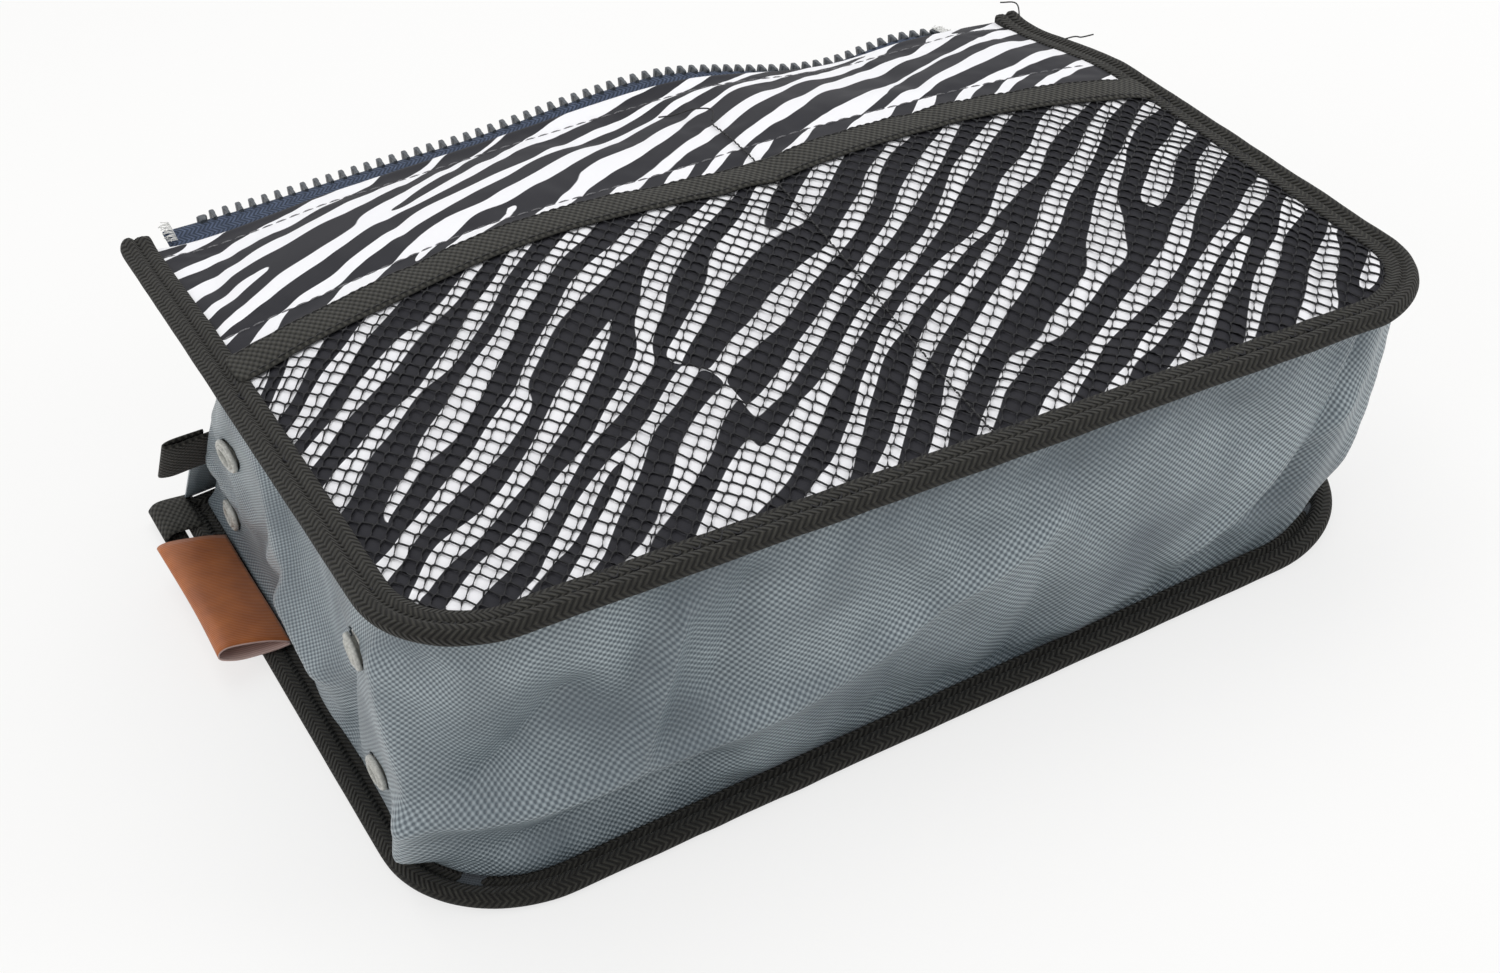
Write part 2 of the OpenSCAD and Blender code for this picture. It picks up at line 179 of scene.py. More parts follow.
def through(x, knots):
    """A soft curve through a few places, level at each of them."""
    xs, ys = np.array(knots, float).T
    i = np.clip(np.searchsorted(xs, x) - 1, 0, len(xs) - 2)
    return ys[i] + (ys[i + 1] - ys[i]) * ease((x - xs[i]) / (xs[i + 1] - xs[i]))


# How the cloth has settled: heights above the flat panel along the hem and along the zip.
HEM_WAVE = [(-174, -1), (-150, -3.5), (-98, 0), (28, 2.6), (98, -5), (138, -5), (176, -10)]
ZIP_WAVE = [(-160, 0), (-138, 0), (-60, 2), (18, 7), (98, -8), (123, -6), (145, -8)]
HEM_PULL = [(-150, 4), (-30, 0), (180, 0)]
CROWN = 9.0
CROWN_HALF = 168.0
# A low bump in the crown: its height, place along x and half width.
BUMP, BUMP_X, BUMP_HALF = 2.5, -62.0, 45.0


def settle(x, y):
    """Height of the settled front panel, its flap and its half of the zip above their flat shape."""
    crown = CROWN * np.clip(1 - abs(x / CROWN_HALF) ** 3.2, 0, 1)
    crown = crown + BUMP * np.exp(-((x - BUMP_X) / BUMP_HALF) ** 2)
    crown = crown * ease((y - NEAR_Y - 6) / 150) * (1 - ease((y - 46) / 76))
    hem = through(x, HEM_WAVE)
    beyond = ease((y - HEM_Y + 9) / 18)
    return crown + hem * ease((y - 44) / 78) * (1 - beyond) + through(x, ZIP_WAVE) * beyond


def pulled(x, y):
    """The hem has been pulled back at its left end, which bares more of the zip tape."""
    return y - through(x, HEM_PULL) * ease((y - HEM_Y + 30) / 30)


def rear_wave(x, y):
    """The zip's other half lies in the same wave, which dies away towards the slider and the strip's foot."""
    return through(x, ZIP_WAVE) * ease((146 - x) / 12) * ease((REAR_FOOT - y) / (REAR_FOOT - HEM_Y - 12))


def wobble(points, size, height, seed=0):
    """Gentle unevenness of handmade cloth, over lengths of about size."""
    shift = Vector((seed * 7.3, seed * 3.1, seed * 5.7))
    return np.array([noise.noise(Vector(p) / size + shift) for p in points]) * height


# ---------------------------------------------------------------- making meshes


def mesh_piece(name, points, faces, uv=None, material=None, flat=False):
    """A mesh object from points in millimetres. uv holds one pair of millimetres for each point."""
    mesh = bpy.data.meshes.new(name)
    mesh.from_pydata((np.asarray(points) * MM).tolist(), [], [list(map(int, f)) for f in faces])
    if uv is not None:
        layer = mesh.uv_layers.new(name="Cloth")
        corner = np.empty(len(mesh.loops), int)
        mesh.loops.foreach_get("vertex_index", corner)
        layer.data.foreach_set("uv", (np.asarray(uv) * MM)[corner].ravel())
    if not flat:
        mesh.polygons.foreach_set("use_smooth", [True] * len(mesh.polygons))
    if material:
        mesh.materials.append(material)
    piece = bpy.data.objects.new(name, mesh)
    bpy.context.scene.collection.objects.link(piece)
    return piece


def grid_faces(rows, columns, closed=False, start=0):
    """Quads between rows of points; closed joins the last column to the first."""
    faces = []
    for r in range(rows - 1):
        for c in range(columns if closed else columns - 1):
            a, b = r * columns + c, r * columns + (c + 1) % columns
            faces.append((start + a, start + b, start + b + columns, start + a + columns))
    return faces


def swept_faces(rows, ring):
    """Faces of a closed section of ring points, swept through rows places and capped at both ends."""
    last = rows * ring
    return grid_faces(rows, ring, closed=True) + [tuple(range(ring))[::-1], tuple(range(last - ring, last))]


def slab_faces(rows, columns):
    """Faces of a slab whose top is a grid of points and whose base is the same grid, numbered after it."""
    count = rows * columns
    rim = ([c for c in range(columns)] + [r * columns + columns - 1 for r in range(1, rows)]
           + [count - 1 - c for c in range(1, columns)] + [r * columns for r in range(rows - 2, 0, -1)])
    faces = grid_faces(rows, columns) + [f[::-1] for f in grid_faces(rows, columns, start=count)]
    return faces + [(b, a, a + count, b + count) for a, b in zip(rim, rim[1:] + rim[:1])]


def softened(piece):
    """Rounds a piece by one step of subdivision."""
    smooth = piece.modifiers.new("smooth", "SUBSURF")
    smooth.levels = smooth.render_levels = 1


def thickened(piece, thickness_mm, offset, material_offset):
    """Gives a sheet its thickness; material_offset picks the material of its other side."""
    thick = piece.modifiers.new("thick", "SOLIDIFY")
    thick.thickness = thickness_mm * MM
    thick.offset = offset
    thick.material_offset = material_offset


def turned_out(piece):
    """Makes every face of a closed mesh look outwards."""
    work = bmesh.new()
    work.from_mesh(piece.data)
    bmesh.ops.recalc_face_normals(work, faces=work.faces)
    work.to_mesh(piece.data)
    work.free()
    return piece


def tube_mesh(path, radius, sides=6):
    """Points and faces of a round thread along a path, with closed ends."""
    path = np.asarray(path, float)
    along = np.gradient(path, axis=0)
    along /= np.linalg.norm(along, axis=1)[:, None]
    side = np.cross(along, np.where(abs(along[:, 2:]) < 0.9, [[0, 0, 1.0]], [[1.0, 0, 0]]))
    side /= np.linalg.norm(side, axis=1)[:, None]
    up = np.cross(side, along)
    angle = np.arange(sides) * 2 * math.pi / sides
    ring = side[:, None] * np.cos(angle)[None, :, None] + up[:, None] * np.sin(angle)[None, :, None]
    points = (path[:, None] + radius * ring).reshape(-1, 3)
    return points, swept_faces(len(path), sides)


def joined(parts):
    """One list of points and one of faces from several."""
    points, faces, start = [], [], 0
    for p, f in parts:
        points.append(p)
        faces += [[i + start for i in face] for face in f]
        start += len(p)
    return np.concatenate(points), faces


def curve_through(knots, steps=8):
    """A smooth path through a few points."""
    p = np.array(knots, float)
    p = np.vstack([2 * p[0] - p[1], p, 2 * p[-1] - p[-2]])
    path = []
    for a, b, c, d in zip(p[:-3], p[1:-2], p[2:-1], p[3:]):
        for t in np.arange(steps) / steps:
            path.append(0.5 * (2 * b + (c - a) * t + (2 * a - 5 * b + 4 * c - d) * t**2
                               + (3 * b - a - 3 * c + d) * t**3))
    return np.array(path + [p[-2]])


# ---------------------------------------------------------------- materials

WALL_WEAVE_MM = 2.1
# Printed stripes: their slant in degrees, their pitch, how far they bend and over what length, and over
# what lengths they fork and change width.
STRIPE_SLANT = 41.0
STRIPE_MM = 14.5
STRIPE_BEND_MM, STRIPE_BEND_BY = 58.0, 34.0
STRIPE_FORK_MM = 57.0
STRIPE_WIDTH_MM = 19.0


def linear(colour):
    """sRGB hex to the linear colour that a shader takes."""
    parts = [int(colour[i:i + 2], 16) / 255 for i in (1, 3, 5)]
    return [p / 12.92 if p <= 0.04045 else ((p + 0.055) / 1.055) ** 2.4 for p in parts] + [1.0]


def add(material, kind, inputs=(), out=0, **settings):
    """Adds a shader node and gives one of its outputs. Each input is a number, a colour or another output."""
    node = material.node_tree.nodes.new("ShaderNode" + kind)
    for key, value in settings.items():
        setattr(node, key, value)
    for key, value in inputs.items() if isinstance(inputs, dict) else enumerate(inputs):
        if isinstance(value, bpy.types.NodeSocket):
            material.node_tree.links.new(value, node.inputs[key])
        else:
            node.inputs[key].default_value = value
    return node.outputs[out]


def new_material(name, **sockets):
    """A material with one Principled shader, whose constant sockets are set here."""
    material = bpy.data.materials.new(name)
    material.use_nodes = True
    for key, value in sockets.items():
        material.node_tree.nodes["Principled BSDF"].inputs[key.replace("_", " ")].default_value = value
    return material


def dress(material, share, dark, light, height=None, depth_mm=0.0):
    """Colours the surface between two colours, and raises its threads or grain by a real depth."""
    shader = material.node_tree.nodes["Principled BSDF"]
    colour = add(material, "Mix", {0: share, 6: linear(dark), 7: linear(light)}, 2, data_type="RGBA")
    material.node_tree.links.new(colour, shader.inputs["Base Color"])
    if height:
        bump = add(material, "Bump", {"Height": height, "Distance": depth_mm * MM, "Strength": 1.0})
        material.node_tree.links.new(bump, shader.inputs["Normal"])
    return material


def cloth_axes(material):
    """Where a point lies on its cloth, in metres, and its places along and across the threads."""
    where = add(material, "UVMap", uv_map="Cloth")
    along = add(material, "SeparateXYZ", [where])
    return where, along, along.node.outputs[1]


def ridges(material, value, pitch_mm):
    """Evenly spaced ridges with a pitch in millimetres, from -1 to 1."""
    turns = add(material, "Math", [value, 2 * math.pi / (pitch_mm * MM)], operation="MULTIPLY")
    return add(material, "Math", [turns], operation="SINE")


def woven(material, along, across, pitch_mm):
    """Threads that go over and under each other, from -1 to 1; a thread is half the pitch wide."""
    both = [ridges(material, along, pitch_mm), ridges(material, across, pitch_mm)]
    return add(material, "Math", both, operation="MULTIPLY")


def mottle(material, where, size_mm, low, high, detail=2.0):
    """Cloudy unevenness with patches of the given size, from low to high."""
    cloud = add(material, "TexNoise", {"Vector": where, "Scale": 1 / (size_mm * MM), "Detail": detail})
    return add(material, "MapRange", [cloud, 0.32, 0.68, low, high])


def coated_nylon():
    """Side walls: coarse plain-woven nylon with a clear coating. The pale dots where the threads cross are
    painted highlights, and the large patches where they are stronger are painted reflection. The weave is
    drawn a little coarser than its 0.9 mm threads so that it shows."""
    material = new_material("coated_woven_nylon", Roughness=0.33, IOR=1.5)
    where, along, across = cloth_axes(material)
    weave = woven(material, along, across, WALL_WEAVE_MM)
    # Painted highlights: each thread crossing is coloured towards the pale grey.
    painted_glints = add(material, "MapRange", [weave, -0.6, 1.0, 0.05, 1.0])
    # Painted reflection: the painted highlights grow stronger and weaker in patches about 38 mm across.
    share = add(material, "Math", [painted_glints, mottle(material, where, 38, 0.35, 1.1)], operation="MULTIPLY")
    return dress(material, share, "#4A565F", "#B4C0C6", weave, 0.2)


def herringbone_tape(name, dark, light, pitch_mm, rib_mm, depth_mm):
    """Tape of spun polyester: matt, with slanting ribs that turn back at each stripe across it."""
    material = new_material(name, Roughness=0.85, Sheen_Weight=0.06, Sheen_Roughness=0.5,
                            Specular_IOR_Level=0.25)
    where, along, across = cloth_axes(material)
    slant = add(material, "Math", [across, rib_mm * MM], operation="PINGPONG")
    ribs = ridges(material, add(material, "Math", [along, slant], operation="ADD"), pitch_mm)
    # Painted light and shade: the ribs' crests are coloured towards the light colour and their grooves
    # towards the dark one.
    painted_thread_shading = add(material, "MapRange", [ribs, -1.0, 1.0])
    share = add(material, "Math", [painted_thread_shading, mottle(material, where, 2.5, 0.4, 1.0)], operation="MULTIPLY")
    return dress(material, share, dark, light, ribs, depth_mm)


def ribbed_webbing():
    """Pocket band and tabs: polyester webbing whose cross ribs stand up in rows of small beads."""
    material = new_material("ribbed_webbing", Roughness=0.85, Sheen_Weight=0.06, Specular_IOR_Level=0.25)
    where, along, across = cloth_axes(material)
    beads = add(material, "Math", [ridges(material, along, 2.2), ridges(material, across, 3.2)],
                operation="MULTIPLY")
    # Painted light and shade: the beads' tops are coloured lighter than the hollows between them.
    share = add(material, "MapRange", [beads, -1.0, 1.0, 0.0, 0.9])
    return dress(material, share, "#0D0D0B", "#45443F", beads, 0.3)


def printed_polyester():
    """Front cloth: fine smooth polyester, transfer-printed with charcoal animal stripes on white.
    The stripes' phase winds round scattered points, which makes them fork, and their width wanders until
    some white ones end in a point."""
    material = new_material("printed_polyester", Roughness=0.65, Sheen_Weight=0.03, Specular_IOR_Level=0.15)
    where, along, across = cloth_axes(material)
    slant = math.radians(STRIPE_SLANT)
    turned = add(material, "VectorRotate", {"Vector": where, "Angle": -slant})
    drawn_out = add(material, "VectorMath", [turned, (0.42, 1.0, 1.0)], operation="MULTIPLY")
    bend = add(material, "TexNoise", {"Vector": drawn_out, "Scale": 1 / (STRIPE_BEND_MM * MM), "Detail": 1.0})
    bend = add(material, "Math", [bend, 0.5], operation="SUBTRACT")
    bend = add(material, "Math", [bend, STRIPE_BEND_BY * MM], operation="MULTIPLY")
    place = add(material, "SeparateXYZ", [turned], 1)
    bent = add(material, "Math", [place, bend], operation="ADD")
    turns = add(material, "Math", [bent, 2 * math.pi / (STRIPE_MM * MM)], operation="MULTIPLY")
    wander = add(material, "TexNoise", {"Vector": drawn_out, "Scale": 1 / (STRIPE_FORK_MM * MM),
                                        "Detail": 0.0}, 1)
    red = add(material, "SeparateColor", [wander])
    sides = [add(material, "Math", [s, 0.5], operation="SUBTRACT") for s in (red, red.node.outputs[1])]
    wind = add(material, "Math", sides, operation="ARCTAN2")
    stripe = add(material, "Math", [add(material, "Math", [turns, wind], operation="ADD")], operation="SINE")
    shift = add(material, "VectorMath", [drawn_out, (3.0, 7.0, 0.0)], operation="ADD")
    edge = add(material, "Math", [stripe, mottle(material, shift, STRIPE_WIDTH_MM, -0.5, 0.9, 1.0)],
               operation="SUBTRACT")
    weave = woven(material, along, across, 0.9)
    return dress(material, add(material, "MapRange", [edge, -0.04, 0.04]), "#242429", "#F1F1F4", weave, 0.012)


def knitted_yarn():
    """Pocket net: black knitted polyester yarn with a faint shine."""
    material = new_material("knitted_net_yarn", Roughness=0.55, Specular_IOR_Level=0.3)
    where = add(material, "TexCoord", out=3)
    return dress(material, mottle(material, where, 1.2, 0.0, 1.0), "#0A0A0C", "#1C1C20")


def plain_lining():
    """Lining: thin plain-woven polyester, dull and dark."""
    material = new_material("woven_lining", Roughness=0.75)
    where, along, across = cloth_axes(material)
    weave = woven(material, along, across, 1.2)
    # Painted light and shade: the weave's crossings are coloured lighter than the hollows between the
    # threads.
    painted_thread_shading = add(material, "MapRange", [weave, -1.0, 1.0, 0.0, 0.6])
    share = add(material, "Math", [painted_thread_shading, mottle(material, where, 25, 0.0, 0.4)], operation="ADD")
    return dress(material, share, "#2F3338", "#565C62", weave, 0.08)


def moulded(name, dark, light, roughness, grain_mm):
    """Injection-moulded acetal or nylon: even colour, a soft shine and a very fine moulding grain."""
    material = new_material(name, Roughness=roughness, IOR=1.48)
    where = add(material, "TexCoord", out=3)
    grain = mottle(material, where, grain_mm, 0.0, 1.0, 3.0)
    return dress(material, grain, dark, light, grain, 0.02)


def satin_label():
    """Label: satin-woven polyester ribbon, its fine weft lines running along the fold."""
    material = new_material("satin_woven_label", Roughness=0.5, Sheen_Weight=0.15)
    where, along, across = cloth_axes(material)
    lines = ridges(material, across, 0.9)
    # Painted light and shade: the weft lines' crests are coloured lighter than the hollows between them.
    painted_thread_shading = add(material, "MapRange", [lines, -1.0, 1.0, 0.0, 0.4])
    share = add(material, "Math", [painted_thread_shading, mottle(material, where, 9, 0.0, 0.6)], operation="ADD")
    return dress(material, share, "#98501F", "#BF6E33", lines, 0.04)


def label_reverse():
    """Reverse of the label: the same ribbon seen from its pale, unbrushed side."""
    material = new_material("label_reverse", Roughness=0.7)
    where, along, across = cloth_axes(material)
    # Painted light and shade: the ribbon's fine lines are coloured lighter on their crests and darker between
    # them.
    painted_thread_shading = add(material, "MapRange", [ridges(material, across, 0.9), -1.0, 1.0])
    return dress(material, painted_thread_shading, "#B99790", "#D9BFB6")


def painted_zinc():
    """Slider and pull: die-cast zinc with a sprayed grey paint, worn brighter along the edges."""
    material = new_material("painted_die_cast_zinc", Roughness=0.35, IOR=1.5)
    edge = add(material, "NewGeometry", out=7)
    wear = add(material, "MapRange", [edge, 0.52, 0.62, 0.0, 0.6])
    grain = mottle(material, add(material, "TexCoord", out=3), 1.5, 0.0, 0.3, 3.0)
    share = add(material, "Math", [wear, grain], operation="ADD")
    return dress(material, share, "#3E4348", "#8B9196", grain, 0.02)


NYLON = coated_nylon()
BINDING = herringbone_tape("herringbone_binding", "#100F0D", "#3E3D38", 2.1, 2.6, 0.28)
WEBBING = ribbed_webbing()
PRINT = printed_polyester()
NET = knitted_yarn()
LINING = plain_lining()
ZIP_TAPE = herringbone_tape("woven_zip_tape", "#2A3342", "#56627A", 1.6, 2.0, 0.12)
TEETH = moulded("moulded_acetal_teeth", "#30353A", "#4D5258", 0.4, 0.8)
EYELET = moulded("moulded_nylon_eyelet", "#A3A39E", "#CACAC4", 0.35, 0.8)
LABEL = satin_label()
LABEL_BACK = label_reverse()
ZINC = painted_zinc()
THREAD = moulded("sewing_thread", "#4A4A4C", "#7D7D80", 0.7, 0.5)
BLACK_THREAD = moulded("black_sewing_thread", "#101011", "#242425", 0.7, 0.5)
FRAY = moulded("frayed_cloth_ends", "#BDBDBA", "#EFEFEC", 0.8, 0.6)

# ---------------------------------------------------------------- sewing and settling


def outline(half_w, near_y, radius, left_y, right_y, step=3.0):
    """Points round a panel's edge from its left mouth corner by the near edge to its right one,
    with the direction into the panel at each and the length walked so far."""
    def stretch(a, b):
        count = max(2, int(abs(a - b) / step))
        return a + (b - a) * np.arange(count) / count
    down = stretch(left_y, near_y + radius)
    up = np.append(stretch(near_y + radius, right_y), right_y)
    along = stretch(-half_w + radius, half_w - radius)
    turn = math.pi / 2 * np.arange(18) / 18
    runs = [(np.full_like(down, -half_w), down, np.ones_like(down), np.zeros_like(down))]
    c, s = np.cos(math.pi + turn), np.sin(math.pi + turn)
    runs.append((radius * c - half_w + radius, near_y + radius + radius * s, -c, -s))
    runs.append((along, np.full_like(along, near_y), np.zeros_like(along), np.ones_like(along)))
    c, s = np.cos(1.5 * math.pi + turn), np.sin(1.5 * math.pi + turn)
    runs.append((radius * c + half_w - radius, near_y + radius + radius * s, -c, -s))
    runs.append((np.full_like(up, half_w), up, -np.ones_like(up), np.zeros_like(up)))
    x, y, ix, iy = (np.concatenate(r) for r in zip(*runs))
    walked = np.concatenate([[0], np.cumsum(np.hypot(np.diff(x), np.diff(y)))])
    return np.stack([x, y], 1), np.stack([ix, iy], 1), walked


def coords(piece):
    co = np.empty(len(piece.data.vertices) * 3)
    piece.data.vertices.foreach_get("co", co)
    return co.reshape(-1, 3)


def settle_cloth(piece, sewn, grow, pressure, frames, cap_mm, stiff=12.0, bending=0.4):
    """Simulates a cloth that is sewn down at some of its points and cut a little too large for its place.
    No point moves further than cap_mm."""
    group = piece.vertex_groups.new(name="sewn")
    group.add([int(i) for i in sewn], 1.0, "REPLACE")
    before = coords(piece)
    modifier = piece.modifiers.new("settle", "CLOTH")
    cloth = modifier.settings
    cloth.quality = 6
    cloth.mass = 0.15
    cloth.tension_stiffness = cloth.compression_stiffness = stiff
    cloth.shear_stiffness = stiff / 2
    cloth.bending_stiffness = bending
    cloth.shrink_min = -grow
    cloth.use_pressure = pressure > 0
    cloth.uniform_pressure_force = pressure
    cloth.effector_weights.gravity = 0
    cloth.vertex_group_mass = "sewn"
    modifier.collision_settings.use_collision = False
    scene = bpy.context.scene
    for number in range(1, frames + 1):
        scene.frame_set(number)
    settled = piece.evaluated_get(bpy.context.evaluated_depsgraph_get())
    after = np.empty(len(before) * 3)
    settled.data.vertices.foreach_get("co", after)
    piece.modifiers.remove(modifier)
    scene.frame_set(1)
    move = after.reshape(-1, 3) - before
    length = np.linalg.norm(move, axis=1)[:, None]
    limit = cap_mm * MM
    move *= np.where(length > 1e-9, limit * np.tanh(length / limit) / np.maximum(length, 1e-9), 1)
    piece.data.vertices.foreach_set("co", (before + move).ravel())
    piece.data.update()


def bend_at_fold(piece):
    """Works out the direction across the fold line, which is not used, and bakes the piece's placing into its
    mesh; the cloth does not bend with the flap.
    """
    out = np.cross(Z_AXIS, FOLD_AXIS)
    out /= np.linalg.norm(out)
    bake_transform(piece)


# ---------------------------------------------------------------- front panel

SEAM_HEM_IN = 9.5
SEAM_MID = [(-170, 48), (-60, 53), (60, 58), (170, 59)]
SEAM_Y = 55.0
PLEAT_TURN, PLEAT_SHIFT = 15.0, (37.0, 64.0)
DIVIDER = [(22, 80), (10, -118)]


def divider_x(y):
    return np.interp(y, [DIVIDER[1][1], DIVIDER[0][1]], [DIVIDER[1][0], DIVIDER[0][0]])


def cut_print(cover, first, count):
    """Past the pleat the cloth is another cut of the print, turned and moved. first is its first point."""
    layer = cover.data.uv_layers["Cloth"].data
    c, s = math.cos(math.radians(PLEAT_TURN)), math.sin(math.radians(PLEAT_TURN))
    for face in cover.data.polygons:
        if min(i % count for i in face.vertices) >= first:
            for loop in face.loop_indices:
                u, v = layer[loop].uv
                layer[loop].uv = (u * c - v * s + PLEAT_SHIFT[0] * MM, u * s + v * c + PLEAT_SHIFT[1] * MM)


def make_cover():
    """Print, foam and lining of the whole front panel as one padded cloth, from the near edge to the hem."""
    columns, seam_row = 131, 69
    inset = 1.5
    ys = np.append(np.linspace(NEAR_Y + inset, SEAM_Y, seam_row + 1), np.linspace(SEAM_Y, HEM_Y, 28)[1:])
    rows = len(ys)
    radius = FRONT_R - inset
    drop = np.clip(NEAR_Y + FRONT_R - ys, 0, radius)
    half = HALF_W - FRONT_R + np.sqrt(np.maximum(radius**2 - drop**2, 0))
    x = np.linspace(-1, 1, columns)[None, :] * half[:, None]
    near_it = np.clip(1 - abs(ys - SEAM_Y) / (HEM_Y - SEAM_Y), 0, 1)
    y = pulled(x, ys[:, None] + near_it[:, None] * (through(x, SEAM_MID) - SEAM_Y))
    lift = settle(x, y)
    core = CORE * (1 - 0.6 * ease((y - HEM_Y + 14) / 12))
    top = panel(x, y, lift + core).reshape(-1, 3)
    base = panel(x, y, lift - core).reshape(-1, 3)
    count = rows * columns
    flat = np.stack([x, y], -1).reshape(-1, 2)
    points, faces = np.vstack([top, base]), slab_faces(rows, columns)
    cover = mesh_piece("front_cover", points, faces, np.vstack([flat, flat]), PRINT)
    cover.data.materials.append(LINING)
    for face in cover.data.polygons:
        low, high = min(face.vertices), max(face.vertices)
        face.material_index = int(low >= count or high - low >= count)
    cut_print(cover, seam_row * columns, count)
    near_seam = abs(flat[:, 1] - pulled(flat[:, 0], HEM_Y - SEAM_HEM_IN)) < 1.4
    near_seam |= abs(flat[:, 1] - through(flat[:, 0], SEAM_MID)) < 1.4
    near_seam |= (abs(flat[:, 0] - divider_x(flat[:, 1])) < 1.4) & (flat[:, 1] < DIVIDER[0][1])
    at_side = half[np.arange(count) // columns] - abs(flat[:, 0]) < BIND_W
    held = near_seam | at_side | (flat[:, 1] < NEAR_Y + BIND_W)
    held |= flat[:, 1] > pulled(flat[:, 0], HEM_Y) - 2.5
    held = np.flatnonzero(held)
    settle_cloth(cover, np.concatenate([held, held + count]), grow=0.008, pressure=1.2, frames=16, cap_mm=2.2)
    softened(cover)
    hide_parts("front_shell", "front_foam", "front_lining", "flap_shell", "flap_foam", "flap_lining")
    return cover


cover = make_cover()


def surface_of(piece):
    return BVHTree.FromObject(piece, bpy.context.evaluated_depsgraph_get())


cover_surface = surface_of(cover)


def on_cover(x, y, gap=0.0):
    """World place of points that lie on the front panel's cloth, gap above it."""
    x, y = np.broadcast_arrays(np.asarray(x, float), np.asarray(y, float))
    flat = np.stack([x.ravel(), y.ravel()], 1)
    height = np.empty(len(flat))
    down = Vector(-Z_AXIS)
    for i, start in enumerate(panel(flat[:, 0], flat[:, 1], 40.0) * MM):
        hit = cover_surface.ray_cast(Vector(start), down)
        height[i] = 40 - hit[3] / MM if hit[0] is not None else settle(flat[i, 0], flat[i, 1]) + CORE
    return panel(flat[:, 0], flat[:, 1], height + gap).reshape(x.shape + (3,))


bend_at_fold(cover)


def binding_profile(top, base, width, ply_top):
    """Cross-section of tape folded round an edge: distance in from the edge and height, as a closed loop.
    A rolled edge, a groove where it is sewn, then the flat ply."""
    mid, half = (top + base) / 2, (top - base) / 2
    groove = width * 0.52
    loop = [(width, ply_top - 0.7), (width - 0.3, ply_top - 0.15), (width - 1.8, ply_top),
            (groove + 1.2, ply_top), (groove + 0.3, ply_top - 0.5), (groove, ply_top - 0.9),
            (groove - 0.7, (ply_top + top) / 2 - 0.3),
            (groove - 1.7, top + 0.3), (groove * 0.42, top + 0.35), (0.9, mid + half * 0.75), (0, mid),
            (0.9, mid - half * 0.75), (groove * 0.5, base), (groove + 1, base), (width - 3, base + 0.1),
            (width, base + 0.4), (width + 0.2, (ply_top + base) / 2)]
    return np.array(loop)


def make_binding(name, edge, inward, walked, profile, place, seed):
    """Sweeps the folded tape along an edge. place turns flat points and heights into the world."""
    count = len(profile)
    x = edge[:, None, 0] + inward[:, None, 0] * profile[None, :, 0]
    y = edge[:, None, 1] + inward[:, None, 1] * profile[None, :, 0]
    z = np.repeat(profile[None, :, 1], len(edge), 0)
    flat = np.stack([x, y, np.zeros_like(x)], -1).reshape(-1, 3)
    z = z + wobble(flat, 14, 0.35, seed).reshape(z.shape) + wobble(flat, 5, 0.18, seed + 1).reshape(z.shape)
    points = place(x, y, z).reshape(-1, 3)
    round_it = np.concatenate([[0], np.cumsum(np.hypot(*np.diff(profile, axis=0).T))])
    uv = np.stack(np.broadcast_arrays(walked[:, None], round_it[None, :]), -1).reshape(-1, 2)
    piece = turned_out(mesh_piece(name, points, swept_faces(len(edge), count), uv, BINDING))
    softened(piece)
    return piece


def make_front_binding():
    edge, inward, walked = outline(HALF_W, NEAR_Y, FRONT_R, HEM_Y + 1, HEM_Y + 1)
    profile = binding_profile(EDGE_HIGH[2], UNDER, BIND_W, EDGE_HIGH[2] - 0.3)
    mid = (EDGE_HIGH[2] + UNDER) / 2

    def place(x, y, z):
        lump = 1 + 0.3 * np.exp(-((HEM_Y + 1 - y) / 7) ** 2)
        return panel(x, y, mid + (z - mid) * lump + settle(x, y))
    piece = make_binding("front_binding_tape", edge, inward, walked, profile, place, 1)
    bend_at_fold(piece)
    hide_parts("front_binding", "flap_binding_left", "flap_binding_right")


make_front_binding()

# The net's yarns run two ways, 4.4 and 4.7 mm apart, at about 45 and -52 degrees to the panel's length, and
# lie together for a short way at each knot. These are the steps from knot to knot along each yarn.
NET_STEPS = np.array([[3.3, 3.4], [2.75, -3.5]])
NET_BOND = 0.9
YARN = 0.8
# How far the band has been pulled out of its straight line.
BAND_SAG = [(-165, -1), (-66, 4.5), (22, 0), (74, 1), (165, -9)]


def band_line(x):
    return BAND_Y + BAND_SLOPE * x + through(x, BAND_SAG)


